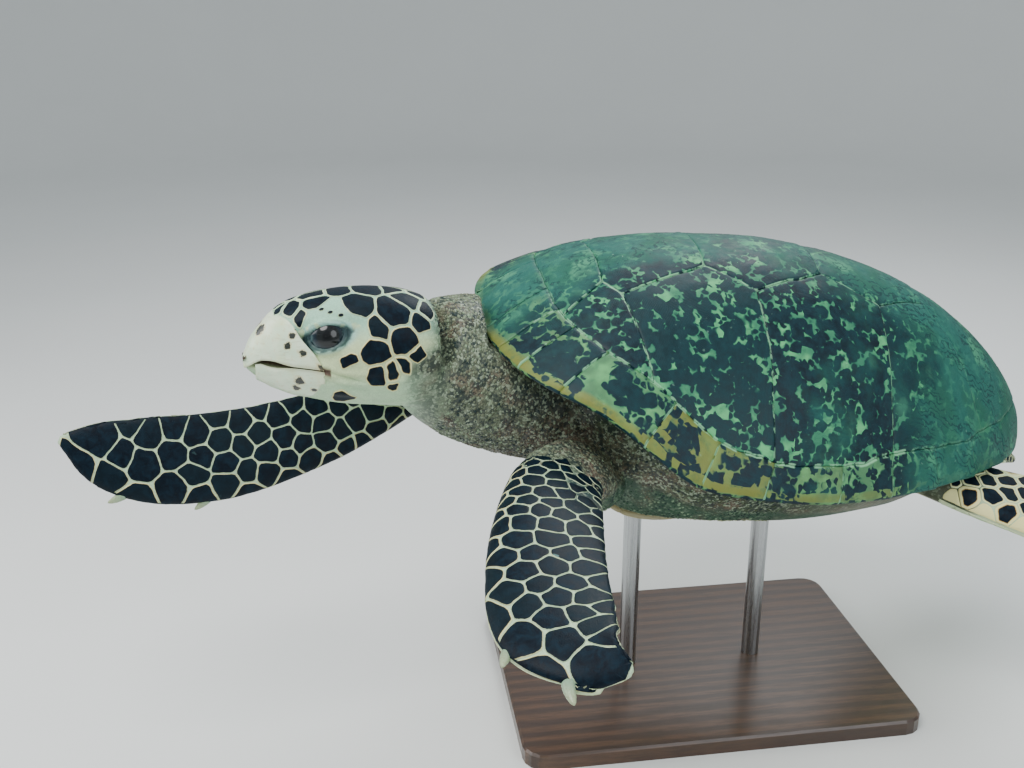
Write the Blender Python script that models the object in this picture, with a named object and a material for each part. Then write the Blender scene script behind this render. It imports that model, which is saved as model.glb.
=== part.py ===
"""Hawksbill sea turtle, life size, on a plain display stand.

World frame: +Z up, the turtle heads along -Y with its left side toward +X, and the
origin is the centre of the stand base's underside. The body is modelled level in its
own frame (x left, y back, z up from the shell's rim plane) and then posed.
"""

import math

import bmesh
import bpy
import numpy as np
from mathutils import Matrix, Vector

# ---- shell, metres ----
SHELL_LENGTH = 0.815
SHELL_WIDTH = 0.568
DOME_HEIGHT = 0.228
WIDEST_AT = 0.34
FRONT_FULLNESS, REAR_FULLNESS = 0.56, 0.58
DOME_PEAK_AT = 0.488
DOME_FRONT_POWER, DOME_REAR_POWER = 0.78, 0.66
RIM_OVER_FLIPPER = 0.058
FRONT_LIFT, REAR_LIFT = 0.045, 0.036
PLATE = 0.007
# rim plates: thickness at the edge, how much deeper they are within, and how far out their underside reaches
RIM_THICK, RIM_DEEPER, RIM_UNDER = 0.008, 0.006, 0.985
# the clearance left between solids, and a length that makes a share of the way to the rim of it
GAP, LEAST_REACH = 0.0003, 0.2

# where the rim plates meet, as shares of the shell's length, from the front
RIM_JOINTS = (0.0025, 0.016, 0.040, 0.092, 0.215, 0.31, 0.41, 0.54, 0.64, 0.735, 0.825, 0.91, 1.0)
STEPS_PER_RIM_PLATE = 3
NUCHAL_STEPS = 2
# ring steps at which the seams of the inner plates reach the rim plates
RING_V1, RING_C12, RING_C23, RING_C34, RING_V5 = 6, 13, 20, 26, 33
# corners of the vertebral plates: (share of length, share of half width)
V_CORNERS = (
    (0.155, 0.30), (0.18, 0.40), (0.31, 0.24), (0.385, 0.37), (0.50, 0.23), (0.60, 0.35), (0.70, 0.20),
)

# ---- underside ----
BELLY_DEPTH = ((0.0, 0.045), (0.08, 0.070), (0.2, 0.096), (0.45, 0.084), (0.75, 0.062), (1.0, 0.025))
BELLY_RINGS = (0.80, 0.62, 0.34)
PLASTRON_RING = 1
PLASTRON = 0.008
# where the shoulders and the hips swell the belly, how far, and over what radius
BULGES = (((0.195, -0.215), 0.034, 0.085), ((0.15, 0.25), 0.018, 0.07))

# ---- pose ----
NOSE_UP, LEFT_DOWN, HEADING = math.radians(14.3), math.radians(5.5), math.radians(-1.4)
BODY_HEIGHT = 0.42
BODY_X, BODY_Y = -0.015, 0.07

# ---- head, in its own frame: x left, y back, z up ----
HEAD_LENGTH = 0.23
HEAD_AT = (0.113, -0.562, 0.144)
HEAD_TURN = math.radians(7.5)
HEAD_WIDTH = (
    (0.0, 0.004), (0.04, 0.016), (0.10, 0.026), (0.20, 0.039), (0.32, 0.050), (0.5, 0.058), (0.7, 0.0615),
    (0.88, 0.058), (1.0, 0.049),
)
HEAD_TOP = (
    (0.0, -0.002), (0.04, 0.018), (0.10, 0.036), (0.20, 0.056), (0.32, 0.066), (0.5, 0.0715), (0.7, 0.070),
    (0.88, 0.062), (1.0, 0.050),
)
HEAD_BOTTOM = (
    (0.0, -0.014), (0.04, -0.024), (0.10, -0.034), (0.20, -0.046), (0.32, -0.056), (0.5, -0.066),
    (0.7, -0.073), (0.88, -0.078), (1.0, -0.078),
)
MOUTH_Z, MOUTH_GAPE = -0.0125, 0.0016
UPPER_BEAK_END, LOWER_BEAK_END = 0.27, 0.40
EYE_AT, EYE_RADIUS = (0.031, 0.425, 0.0265), 0.0265

# ---- neck: centres (relative to the shell's centre) and radii ----
NECK_PATH = ((0.0, -0.22, 0.020), (0.018, -0.33, 0.055), (0.052, -0.41, 0.094), (0.086, -0.460, 0.125))
NECK_SIDE = (0.135, 0.122, 0.095, 0.064)
NECK_TALL = (0.085, 0.096, 0.092, 0.070)

# ---- limbs: middle lines, directions of the leading edge, half chords, thicknesses ----
ARM_LEFT = (
    (0.16, -0.265, -0.030), (0.252, -0.318, 0.010), (0.35, -0.348, 0.021), (0.45, -0.369, 0.018),
    (0.543, -0.377, 0.010), (0.600, -0.357, 0.008), (0.624, -0.323, 0.004),
)
ARM_LEFT_LEAD = ((-0.18, -0.93, 0.20), (0.0, -0.95, -0.28))
ARM_RIGHT = (
    (-0.150, -0.285, 0.050), (-0.088, -0.395, 0.052), (-0.026, -0.485, 0.036), (0.018, -0.592, 0.006),
    (0.052, -0.715, -0.012), (0.070, -0.822, -0.003), (0.064, -0.912, 0.027),
)
ARM_RIGHT_LEAD = ((0.25, 0.05, -0.96), (0.30, -0.25, -0.92))
ARM_LEFT_CHORD = (
    (0.0, 0.050), (0.17, 0.052), (0.34, 0.059), (0.52, 0.061), (0.70, 0.057), (0.82, 0.043), (0.92, 0.024),
    (1.0, 0.006),
)
ARM_RIGHT_CHORD = (
    (0.0, 0.048), (0.17, 0.042), (0.34, 0.041), (0.52, 0.050), (0.70, 0.058), (0.84, 0.052), (0.94, 0.032),
    (1.0, 0.006),
)
ARM_THICK = ((0.0, 0.100), (0.1, 0.085), (0.2, 0.058), (0.4, 0.034), (0.7, 0.022), (0.9, 0.012), (1.0, 0.006))
ARM_CLAWS = (0.70, 0.84)
LEG_PATH = (
    (0.090, 0.235, -0.010), (0.145, 0.305, -0.004), (0.195, 0.385, 0.006), (0.232, 0.465, 0.012),
    (0.255, 0.540, 0.010),
)
LEG_LEAD = ((0.80, -0.45, -0.35), (0.86, -0.15, -0.45))
LEG_CHORD = ((0.0, 0.040), (0.3, 0.050), (0.6, 0.062), (0.85, 0.052), (0.95, 0.034), (1.0, 0.008))
LEG_THICK = ((0.0, 0.050), (0.3, 0.034), (0.6, 0.022), (0.9, 0.012), (1.0, 0.006))
LEG_CLAW = 0.72
# claws: how far the root is sunk in the edge, how far the point bends toward the tip, and which way is up
CLAW_LENGTH, CLAW_RADIUS, CLAW_SUNK, CLAW_BEND, CLAW_UP = 0.020, 0.0065, 0.004, 0.006, (0.3, 0.4, 0.85)
TAIL_PATH = ((0.0, 0.30, -0.005), (0.0, 0.355, 0.0), (0.0, 0.405, -0.004), (0.0, 0.437, -0.010))
TAIL_RADIUS = (0.040, 0.030, 0.018, 0.005)

# ---- stand ----
BASE_LENGTH, BASE_WIDTH, BASE_THICK, BASE_CORNER, BASE_CHAMFER = 0.56, 0.40, 0.022, 0.03, 0.003
# the rods run up into the body, which trims them
ROD_RADIUS, ROD_OFFSET, ROD_TOP = 0.0125, 0.095, 0.40

for old in list(bpy.data.objects):
    bpy.data.objects.remove(old)


# ---- helpers ----
def smooth(x):
    x = np.clip(x, 0.0, 1.0)
    return x * x * (3 - 2 * x)


def table(pairs, at):
    return float(np.interp(at, [p[0] for p in pairs], [p[1] for p in pairs]))


def spline(points, at):
    """A Catmull-Rom curve through the points, at a share of the way."""
    pts = [np.array(p, float) for p in points]
    pts = [2 * pts[0] - pts[1], *pts, 2 * pts[-1] - pts[-2]]
    k = min(int(at * (len(pts) - 3)), len(pts) - 4)
    u = at * (len(pts) - 3) - k
    a, b, c, d = pts[k : k + 4]
    return 0.5 * (2 * b + (c - a) * u + (2 * a - 5 * b + 4 * c - d) * u**2 + (3 * b - a - 3 * c + d) * u**3)


def unit(v):
    v = np.array(v, float)
    return v / np.linalg.norm(v)


POSE = (
    Matrix.Rotation(HEADING, 3, "Z") @ Matrix.Rotation(LEFT_DOWN, 3, "Y") @ Matrix.Rotation(-NOSE_UP, 3, "X")
)
TURTLE_AT = Vector((BODY_X, BODY_Y, BODY_HEIGHT))


def posed(point):
    """From the level body frame to the world."""
    return POSE @ Vector(point) + TURTLE_AT


def placed(point):
    """From a frame level with the world at the shell's centre to the world."""
    return Vector(point) + TURTLE_AT


def split(a, b, c, d, other=False):
    """A four-sided face as two triangles, cut along a-c or along b-d."""
    return [(a, b, d), (b, c, d)] if other else [(a, b, c), (a, c, d)]


def solid(name, points, faces):
    mesh = bpy.data.meshes.new(name)
    mesh.from_pydata([tuple(p) for p in points], [], faces)
    work = bmesh.new()
    work.from_mesh(mesh)
    bmesh.ops.remove_doubles(work, verts=work.verts, dist=1e-7)
    bmesh.ops.recalc_face_normals(work, faces=work.faces)
    if work.calc_volume(signed=True) < 0:
        bmesh.ops.reverse_faces(work, faces=work.faces)
    work.to_mesh(mesh)
    work.free()
    obj = bpy.data.objects.new(name, mesh)
    bpy.context.collection.objects.link(obj)
    return obj


def loft(name, rings, to_world):
    """A closed solid through rings of equal length, with a fan at each end."""
    n = len(rings[0])
    points = [to_world(p) for ring in rings for p in ring]
    faces = []
    for r in range(len(rings) - 1):
        for k in range(n):
            a, b = r * n + k, r * n + (k + 1) % n
            faces += split(a, b, b + n, a + n)
    for r in (0, len(rings) - 1):
        points.append(to_world(np.mean(np.array(rings[r], float), axis=0)))
        hub = len(points) - 1
        faces += [(hub, r * n + k, r * n + (k + 1) % n) for k in range(n)]
    return solid(name, points, faces)


def grown(obj, by):
    """A hidden copy of the object, with its surface moved out."""
    copy = obj.copy()
    copy.data = obj.data.copy()
    copy.name = "cutter_" + obj.name
    bpy.context.collection.objects.link(copy)
    normals = [v.normal.copy() for v in copy.data.vertices]
    for vertex, normal in zip(copy.data.vertices, normals):
        vertex.co += normal * by
    copy.hide_render = True
    return copy


def carve(obj, cutters, operation="DIFFERENCE"):
    """Applies Booleans at once, so that the node is a plain mesh."""
    for cutter in cutters:
        modifier = obj.modifiers.new("carve", "BOOLEAN")
        modifier.operation = operation
        modifier.solver = "EXACT"
        modifier.object = cutter
    bpy.context.view_layer.update()
    done = bpy.data.meshes.new_from_object(obj.evaluated_get(bpy.context.evaluated_depsgraph_get()))
    obj.modifiers.clear()
    obj.data = done


def keep_largest(obj):
    """Drops any loose splinter that a Boolean left behind."""
    work = bmesh.new()
    work.from_mesh(obj.data)
    bmesh.ops.remove_doubles(work, verts=work.verts, dist=2e-6)
    bmesh.ops.dissolve_degenerate(work, dist=2e-6, edges=work.edges)
    left, groups = set(work.verts), []
    while left:
        stack, group = [left.pop()], []
        while stack:
            vert = stack.pop()
            group.append(vert)
            for edge in vert.link_edges:
                other = edge.other_vert(vert)
                if other in left:
                    left.remove(other)
                    stack.append(other)
        groups.append(group)
    groups.sort(key=len, reverse=True)
    bmesh.ops.delete(work, geom=[v for g in groups[1:] for v in g], context="VERTS")
    work.to_mesh(obj.data)
    work.free()


def discard(objects):
    for obj in objects:
        bpy.data.objects.remove(obj)


# ---- the shell's surface ----
def half_width(t):
    a = math.log(0.5) / math.log(WIDEST_AT)
    b = FRONT_FULLNESS + (REAR_FULLNESS - FRONT_FULLNESS) * np.clip((t - 0.25) / 0.35, 0, 1)
    return SHELL_WIDTH / 2 * np.clip(np.sin(np.pi * np.clip(t, 0, 1) ** a), 0, 1) ** b


def rim_height(t):
    return RIM_OVER_FLIPPER * (1 - smooth((t - 0.12) / 0.22)) + REAR_LIFT * smooth((t - 0.45) / 0.55)


def top_height(x, y):
    t = np.clip(y / SHELL_LENGTH + 0.5, 1e-6, 1 - 1e-6)
    s = np.clip(np.abs(x) / max(half_width(t), 1e-6), 0, 1)
    c = math.log(0.5) / math.log(DOME_PEAK_AT)
    power = DOME_FRONT_POWER + (DOME_REAR_POWER - DOME_FRONT_POWER) * smooth((t - 0.15) / 0.5)
    crest = DOME_HEIGHT * np.clip(np.sin(np.pi * t**c), 0, 1) ** power
    base = FRONT_LIFT * (1 - smooth(t / 0.4)) + REAR_LIFT * smooth((t - 0.45) / 0.55)
    return float(base + (rim_height(t) - base) * s**3 + crest * (1 - s**2) ** 0.96)


def normal_at(x, y):
    e = 0.002
    inward = 0.985
    x, y = x * inward, y * inward
    dx = (top_height(x + e, y) - top_height(x - e, y)) / (2 * e)
    dy = (top_height(x, y + e) - top_height(x, y - e)) / (2 * e)
    return unit((-dx, -dy, 1.0))


def on_shell(xy, below=0.0):
    x, y = xy
    return np.array((x, y, top_height(x, y))) - normal_at(x, y) * below


def seam_share(t):
    """How far out, of the way to the rim, the rim plates begin."""
    return 0.84 + 0.08 * smooth((t - 0.15) / 0.25)


def step_shares():
    """The ring's steps on one side, from the front midline to the rear midline."""
    turn = [math.acos(1 - 2 * t) / math.pi for t in RIM_JOINTS]
    steps = [turn[0] * k / NUCHAL_STEPS for k in range(NUCHAL_STEPS)]
    for a, b in zip(turn, turn[1:]):
        steps += [a + (b - a) * k / STEPS_PER_RIM_PLATE for k in range(STEPS_PER_RIM_PLATE)]
    steps.append(1.0)
    return [(1 - math.cos(math.pi * s)) / 2 for s in steps]


STEPS = step_shares()
LAST = len(STEPS) - 1


def outline(step, share, side=1):
    """A plan point on the ray to the rim's outline, at a share of the way out."""
    t = STEPS[step]
    return np.array((side * share * float(half_width(t)), share * SHELL_LENGTH * (t - 0.5)))


def ring_point(step, side):
    return outline(step, seam_share(STEPS[step]), side)


def corner(k, side):
    t, s = V_CORNERS[k]
    return np.array((side * s * float(half_width(t)), SHELL_LENGTH * (t - 0.5)))


def between(a, b, parts):
    """The inner points of a straight seam."""
    return [a + (b - a) * k / parts for k in range(1, parts)]


def ring_run(first, last, side):
    step = 1 if last >= first else -1
    return [ring_point(k, side) for k in range(first, last + step, step)]


def costal(number, side):
    rings = (RING_V1, RING_C12, RING_C23, RING_C34, RING_V5)
    first, last = rings[number - 1], rings[number]
    spine = [corner(k, side) for k in (0, 1, 2, 3, 4, 5, 6)]
    inner = {1: spine[0:2], 2: spine[1:4], 3: spine[3:6], 4: spine[5:7]}[number][::-1]
    loop = ring_run(first, last, side)
    path = [loop[-1], *inner, loop[0]]
    if number == 1:
        parts = (4, 2, 3)
    elif number == 4:
        parts = (4, 3, 4)
    else:
        parts = (4, 3, 3, 4)
    for a, b, n in zip(path, path[1:], parts):
        loop += between(a, b, n) + [b]
    return loop[:-1]


def vertebral(number):
    left = [corner(k, 1) for k in range(7)]
    right = [corner(k, -1) for k in range(7)]
    if number == 1:
        loop = ring_run(0, RING_V1, 1)
        path, parts = [loop[-1], left[0], right[0], ring_point(RING_V1, -1)], (3, 4, 3)
        for a, b, n in zip(path, path[1:], parts):
            loop += between(a, b, n) + [b]
        return loop + ring_run(RING_V1 - 1, 1, -1)
    if number == 5:
        loop = ring_run(RING_V5, LAST, 1) + ring_run(LAST - 1, RING_V5, -1)
        path, parts = [loop[-1], right[6], left[6], loop[0]], (4, 4, 4)
        for a, b, n in zip(path, path[1:], parts):
            loop += between(a, b, n) + [b]
        return loop[:-1]
    a, b, c = {2: (0, 1, 2), 3: (2, 3, 4), 4: (4, 5, 6)}[number]
    first = 2 if number == 2 else 3
    path = [left[a], left[b], left[c], right[c], right[b], right[a], left[a]]
    loop = [left[a]]
    for p, q, n in zip(path, path[1:], (first, 3, 4, 3, first, 4)):
        loop += between(p, q, n) + [q]
    return loop[:-1]


def patch(loop, below, inset):
    """Points and faces of a piece of the shell's surface, from its plan loop."""
    middle = np.mean(loop, axis=0)
    edge = [p + unit(middle - p) * inset for p in loop]
    halfway = [middle + (p - middle) * 0.55 for p in loop]
    n = len(loop)
    points = [on_shell(p, below) for p in [*edge, *halfway, middle]]
    faces = [face for k in range(n) for face in split(k, (k + 1) % n, n + (k + 1) % n, n + k)]
    faces += [(n + k, n + (k + 1) % n, 2 * n) for k in range(n)]
    return points, faces


def inner_plate(name, loop):
    top, faces = patch(loop, 0.0, GAP)
    bottom, _ = patch(loop, PLATE, GAP)
    n, count = len(loop), len(top)
    faces = faces + [tuple(i + count for i in reversed(face)) for face in faces]
    for k in range(n):
        faces += split((k + 1) % n, k, count + k, count + (k + 1) % n)
    return solid(name, [posed(p) for p in top + bottom], faces)


def rim_plate(name, stations):
    """A wedge around the shell's edge; stations are (step, side) in order along the rim."""
    plans = []
    for step, side in stations:
        t = STEPS[step]
        share = seam_share(t)
        rim = float(rim_height(t))
        a, b, c = (outline(step, s, side) for s in (share, (share + 1) / 2, 1.0))
        d, e = outline(step, RIM_UNDER, side), outline(step, share, side)
        plans.append(
            [
                on_shell(a),
                on_shell(b),
                np.array((*c, rim)),
                np.array((*d, rim - RIM_THICK)),
                np.array((*e, rim - RIM_THICK - RIM_DEEPER)),
                on_shell(a, PLATE),
            ]
        )
    first, second, before, last = plans[0], plans[1], plans[-2], plans[-1]
    plans[0] = [p + unit(q - p) * GAP for p, q in zip(first, second)]
    plans[-1] = [p + unit(q - p) * GAP for p, q in zip(last, before)]
    return loft(name, plans, posed)


def belly_height(step, share, side):
    t = STEPS[step]
    x, y = outline(step, share, side)
    edge = float(rim_height(t)) - RIM_THICK - RIM_DEEPER
    at = y / SHELL_LENGTH + 0.5
    depth = -table(BELLY_DEPTH, at)
    z = edge + (depth - edge) * float(smooth((seam_share(t) - share) / 0.24))
    for (bx, by), bulge, span in BULGES:
        far = ((abs(x) - bx) ** 2 + (y - by) ** 2) / span**2
        z -= bulge * math.exp(-far) * float(smooth((seam_share(t) - share) / 0.06))
    return z


# ---- build: plates ----
LOOPS = {}
for number in range(1, 6):
    LOOPS[f"vertebral_{number}"] = vertebral(number)
for number in range(1, 5):
    LOOPS[f"costal_left_{number}"] = costal(number, 1)
    LOOPS[f"costal_right_{number}"] = costal(number, -1)
for plate_name, plate_loop in LOOPS.items():
    inner_plate(plate_name, plate_loop)

rim_plates = [rim_plate("nuchal", [(2, -1), (1, -1), (0, 1), (1, 1), (2, 1)])]
for number in range(1, 13):
    start = NUCHAL_STEPS + (number - 1) * STEPS_PER_RIM_PLATE
    for word, hand in (("left", 1), ("right", -1)):
        along = [(start + k, hand) for k in range(STEPS_PER_RIM_PLATE + 1)]
        rim_plates.append(rim_plate(f"marginal_{word}_{number}", along))

# ---- build: trunk, whose top matches the plates' undersides facet for facet ----
ROUND = [(k, 1) for k in range(LAST + 1)] + [(k, -1) for k in range(LAST - 1, 0, -1)]
trunk_points, trunk_faces = [], []
for plate_loop in LOOPS.values():
    points, faces = patch(plate_loop, PLATE + GAP, 0.0)
    offset = len(trunk_points)
    trunk_points += points
    trunk_faces += [tuple(i + offset for i in face) for face in faces]
count = len(ROUND)
start = len(trunk_points)
for step, hand in ROUND:
    trunk_points.append(on_shell(ring_point(step, hand), PLATE + GAP))
for step, hand in ROUND:
    share = seam_share(STEPS[step]) - GAP / LEAST_REACH
    x, y = outline(step, share, hand)
    trunk_points.append(np.array((x, y, float(rim_height(STEPS[step])) - RIM_THICK - RIM_DEEPER)))
for share in BELLY_RINGS:
    for step, hand in ROUND:
        x, y = outline(step, share, hand)
        trunk_points.append(np.array((x, y, belly_height(step, share, hand))))
trunk_points.append(np.array((0.0, 0.0, -table(BELLY_DEPTH, 0.5))))
hub = len(trunk_points) - 1
rows = 1 + len(BELLY_RINGS)
for row in range(rows):
    for k in range(count):
        a, b = start + row * count + k, start + row * count + (k + 1) % count
        # The wall behind the rim plates is split as their inner faces are.
        by_left = k < LAST or k >= count - NUCHAL_STEPS
        trunk_faces += split(a, b, b + count, a + count, other=row == 0 and by_left)
lowest = start + rows * count
trunk_faces += [(lowest + k, lowest + (k + 1) % count, hub) for k in range(count)]
trunk = solid("trunk", [posed(p) for p in trunk_points], trunk_faces)

# ---- build: plastron, on the belly's inner rings ----
plate_points, plate_faces = [], []
for drop in (GAP, GAP + PLASTRON):
    for row in range(PLASTRON_RING, len(BELLY_RINGS)):
        for step, hand in ROUND:
            x, y = outline(step, BELLY_RINGS[row], hand)
            plate_points.append((x, y, belly_height(step, BELLY_RINGS[row], hand) - drop))
    plate_points.append((0.0, 0.0, -table(BELLY_DEPTH, 0.5) - drop))
layer = len(plate_points) // 2
for base in (0, layer):
    for row in range(len(BELLY_RINGS) - PLASTRON_RING - 1):
        for k in range(count):
            a, b = base + row * count + k, base + row * count + (k + 1) % count
            plate_faces += split(a, b, b + count, a + count)
    inner = base + (len(BELLY_RINGS) - PLASTRON_RING - 1) * count
    plate_faces += [(inner + k, inner + (k + 1) % count, base + layer - 1) for k in range(count)]
for k in range(count):
    plate_faces += split(k, (k + 1) % count, layer + (k + 1) % count, layer + k)
plastron = solid("plastron", [posed(p) for p in plate_points], plate_faces)


# ---- build: head, beak and eyes ----
HEAD_FRAME = Matrix.Rotation(HEAD_TURN, 3, "Z")
HEAD_POINT = Vector(HEAD_AT)


def head_placed(point):
    return placed(HEAD_FRAME @ Vector(point) + HEAD_POINT)


def head_ring(u, n=16):
    y = HEAD_LENGTH * (u - 0.5)
    w, top, low = (table(pairs, u) for pairs in (HEAD_WIDTH, HEAD_TOP, HEAD_BOTTOM))
    widest = MOUTH_Z + 0.25 * (top - MOUTH_Z)
    ring = []
    for k in range(n):
        angle = 2 * math.pi * k / n
        side, up = math.cos(angle), math.sin(angle)
        x = w * math.copysign(abs(side) ** 0.85, side)
        reach = top - widest if up >= 0 else widest - low
        ring.append((x, y, widest + reach * math.copysign(abs(up) ** 0.9, up)))
    return ring


def box(name, low, high, to_world):
    xs, ys, zs = zip(low, high)
    points = [to_world((x, y, z)) for x in xs for y in ys for z in zs]
    faces = [(0, 1, 3, 2), (4, 6, 7, 5), (0, 4, 5, 1), (2, 3, 7, 6), (0, 2, 6, 4), (1, 5, 7, 3)]
    return solid(name, points, faces)


def ball(name, centre, radius, to_world, around=12, rows=8):
    rings = []
    for r in range(1, rows):
        lat = math.pi * r / rows
        ring = []
        for k in range(around):
            lon = 2 * math.pi * k / around
            ring.append(
                (
                    centre[0] + radius * math.cos(lat),
                    centre[1] + radius * math.sin(lat) * math.cos(lon),
                    centre[2] + radius * math.sin(lat) * math.sin(lon),
                )
            )
        rings.append(ring)
    obj = loft(name, rings, to_world)
    for hub, side in ((-2, 1), (-1, -1)):
        obj.data.vertices[len(obj.data.vertices) + hub].co = to_world(
            (centre[0] + side * radius, centre[1], centre[2])
        )
    return obj


stations = (0.0, 0.04, 0.10, 0.20, 0.32, 0.5, 0.7, 0.88, 1.0)
head = loft("head", [head_ring(u) for u in stations], head_placed)
y_snout = -HEAD_LENGTH
upper_end = HEAD_LENGTH * (UPPER_BEAK_END - 0.5)
lower_end = HEAD_LENGTH * (LOWER_BEAK_END - 0.5)
WIDE = 0.2
for beak_name, low, high in (
    ("beak_upper", (-WIDE, y_snout, MOUTH_Z + MOUTH_GAPE), (WIDE, upper_end, WIDE)),
    ("beak_lower", (-WIDE, y_snout, -WIDE), (WIDE, lower_end, MOUTH_Z - MOUTH_GAPE)),
):
    beak = loft(beak_name, [head_ring(u) for u in stations], head_placed)
    keep = box("cutter_keep", low, high, head_placed)
    carve(beak, [keep], "INTERSECT")
    discard([keep])
lip = MOUTH_Z - MOUTH_GAPE
cuts = [
    box("cutter_upper", (-WIDE, y_snout, lip), (WIDE, upper_end + GAP, WIDE), head_placed),
    box("cutter_lower", (-WIDE, y_snout, -WIDE), (WIDE, lower_end + GAP, lip + GAP), head_placed),
]
for word, hand in (("left", 1), ("right", -1)):
    centre = (hand * EYE_AT[0], HEAD_LENGTH * (EYE_AT[1] - 0.5), EYE_AT[2])
    ball(f"eye_{word}", centre, EYE_RADIUS, head_placed)
    cuts.append(ball(f"cutter_eye_{word}", centre, EYE_RADIUS + GAP, head_placed))
carve(head, cuts)
discard(cuts)
keep_largest(head)


# ---- build: neck, limbs and tail ----
def tube(name, path, sides, talls, to_world, n=14, steps=7):
    rings = []
    for j in range(steps):
        at = j / (steps - 1)
        centre = spline(path, at)
        ahead = spline(path, min(at + 0.02, 1)) - spline(path, max(at - 0.02, 0))
        across = unit(np.cross(ahead, (0, 0, 1)))
        up = unit(np.cross(across, ahead))
        shares = np.linspace(0, 1, len(sides))
        w, h = float(np.interp(at, shares, sides)), float(np.interp(at, shares, talls))
        turns = [2 * math.pi * k / n for k in range(n)]
        rings.append([centre + across * w * math.cos(turn) + up * h * math.sin(turn) for turn in turns])
    return loft(name, rings, to_world)


def limb_frame(path, leads, at):
    centre = spline(path, at)
    ahead = unit(spline(path, min(at + 0.02, 1)) - spline(path, max(at - 0.02, 0)))
    lead = np.array(leads[0]) * (1 - at) + np.array(leads[1]) * at
    lead = unit(lead - ahead * np.dot(lead, ahead))
    return centre, ahead, lead, np.cross(ahead, lead)


def limb(name, path, leads, chords, thicks, to_world, n=12, steps=12):
    rings = []
    for j in range(steps):
        at = 1 - (1 - j / (steps - 1)) ** 1.25
        centre, _, lead, normal = limb_frame(path, leads, at)
        chord, thick = table(chords, at), table(thicks, at)
        ring = []
        for k in range(n):
            angle = 2 * math.pi * k / n
            c, s = math.cos(angle), math.sin(angle)
            ring.append(centre + lead * chord * c + normal * thick / 2 * s * (1 + 0.35 * c))
        rings.append(ring)
    return loft(name, rings, to_world)


def claw(name, path, leads, chords, at, to_world):
    centre, ahead, lead, _ = limb_frame(path, leads, at)
    out = unit(lead * 0.75 + ahead * 0.65)
    root = centre + lead * (table(chords, at) - CLAW_SUNK)
    side = unit(np.cross(out, CLAW_UP))
    up = np.cross(out, side)
    rings = []
    for share, radius in ((0.0, 1.0), (0.5, 0.75), (1.0, 0.25)):
        middle = root + out * CLAW_LENGTH * share + ahead * CLAW_BEND * share**2
        turns = [k * math.pi / 3 for k in range(6)]
        ring = [side * math.cos(turn) + up * math.sin(turn) for turn in turns]
        rings.append([middle + way * CLAW_RADIUS * radius for way in ring])
    return loft(name, rings, to_world)


def mirrored(points):
    return tuple((-x, y, z) for x, y, z in points)


rim_cutters = {obj.name: grown(obj, GAP) for obj in rim_plates}
trunk_cutter = grown(trunk, GAP)
plastron_cutter = grown(plastron, GAP)


def near_rim(word, numbers):
    return [rim_cutters[f"marginal_{word}_{k}"] for k in numbers]


neck = tube("neck", NECK_PATH, NECK_SIDE, NECK_TALL, placed)
head_cutter = grown(head, GAP)
rims = [rim_cutters["nuchal"], *near_rim("left", (1, 2, 3, 4)), *near_rim("right", (1, 2, 3, 4))]
carve(neck, [trunk_cutter, plastron_cutter, head_cutter, *rims])
keep_largest(neck)
neck_cutter = grown(neck, GAP)

ARMS = (
    ("left", ARM_LEFT, ARM_LEFT_LEAD, ARM_LEFT_CHORD),
    ("right", ARM_RIGHT, ARM_RIGHT_LEAD, ARM_RIGHT_CHORD),
)
for word, path, leads, chords in ARMS:
    claws = []
    for k, at in enumerate(ARM_CLAWS, 1):
        claws.append(claw(f"claw_front_{word}_{k}", path, leads, chords, at, placed))
    arm = limb(f"flipper_front_{word}", path, leads, chords, ARM_THICK, placed)
    claw_cutters = [grown(c, GAP) for c in claws]
    carve(arm, [trunk_cutter, plastron_cutter, neck_cutter, *near_rim(word, (1, 2, 3, 4, 5)), *claw_cutters])
    keep_largest(arm)
    discard(claw_cutters)

for word, hand in (("left", 1), ("right", -1)):
    path = LEG_PATH if hand == 1 else mirrored(LEG_PATH)
    leads = LEG_LEAD if hand == 1 else mirrored(LEG_LEAD)
    nail = claw(f"claw_hind_{word}", path, leads, LEG_CHORD, LEG_CLAW, posed)
    leg = limb(f"flipper_hind_{word}", path, leads, LEG_CHORD, LEG_THICK, posed, steps=10)
    nail_cutter = grown(nail, GAP)
    carve(leg, [trunk_cutter, *near_rim(word, (8, 9, 10, 11, 12)), nail_cutter])
    keep_largest(leg)
    discard([nail_cutter])

tail = tube("tail", TAIL_PATH, TAIL_RADIUS, [r * 0.8 for r in TAIL_RADIUS], posed, n=10, steps=6)
carve(tail, [trunk_cutter, *near_rim("left", (12,)), *near_rim("right", (12,))])
keep_largest(tail)


# ---- build: stand ----
def slab(name, length, width, thick, corner_radius, chamfer):
    def loop(inset, z):
        points = []
        r = corner_radius - inset
        for cx, cy, first in ((1, 1, 0), (-1, 1, 90), (-1, -1, 180), (1, -1, 270)):
            for k in range(5):
                angle = math.radians(first + 22.5 * k)
                x = cx * (width / 2 - corner_radius) + r * math.cos(angle)
                y = cy * (length / 2 - corner_radius) + r * math.sin(angle)
                points.append((x, y, z))
        return points

    rings = [loop(0.0, 0.0), loop(0.0, thick - chamfer), loop(chamfer, thick)]
    return loft(name, rings, Vector)


slab("stand_base", BASE_LENGTH, BASE_WIDTH, BASE_THICK, BASE_CORNER, BASE_CHAMFER)
for rod_name, y in (("stand_rod_front", -ROD_OFFSET), ("stand_rod_rear", ROD_OFFSET)):
    turns = [math.pi * k / 8 for k in range(16)]
    ring = [(ROD_RADIUS * math.cos(turn), y + ROD_RADIUS * math.sin(turn)) for turn in turns]
    rod = loft(rod_name, [[(*xy, z) for xy in ring] for z in (BASE_THICK + GAP, ROD_TOP)], Vector)
    carve(rod, [plastron_cutter, trunk_cutter])
    keep_largest(rod)

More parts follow.
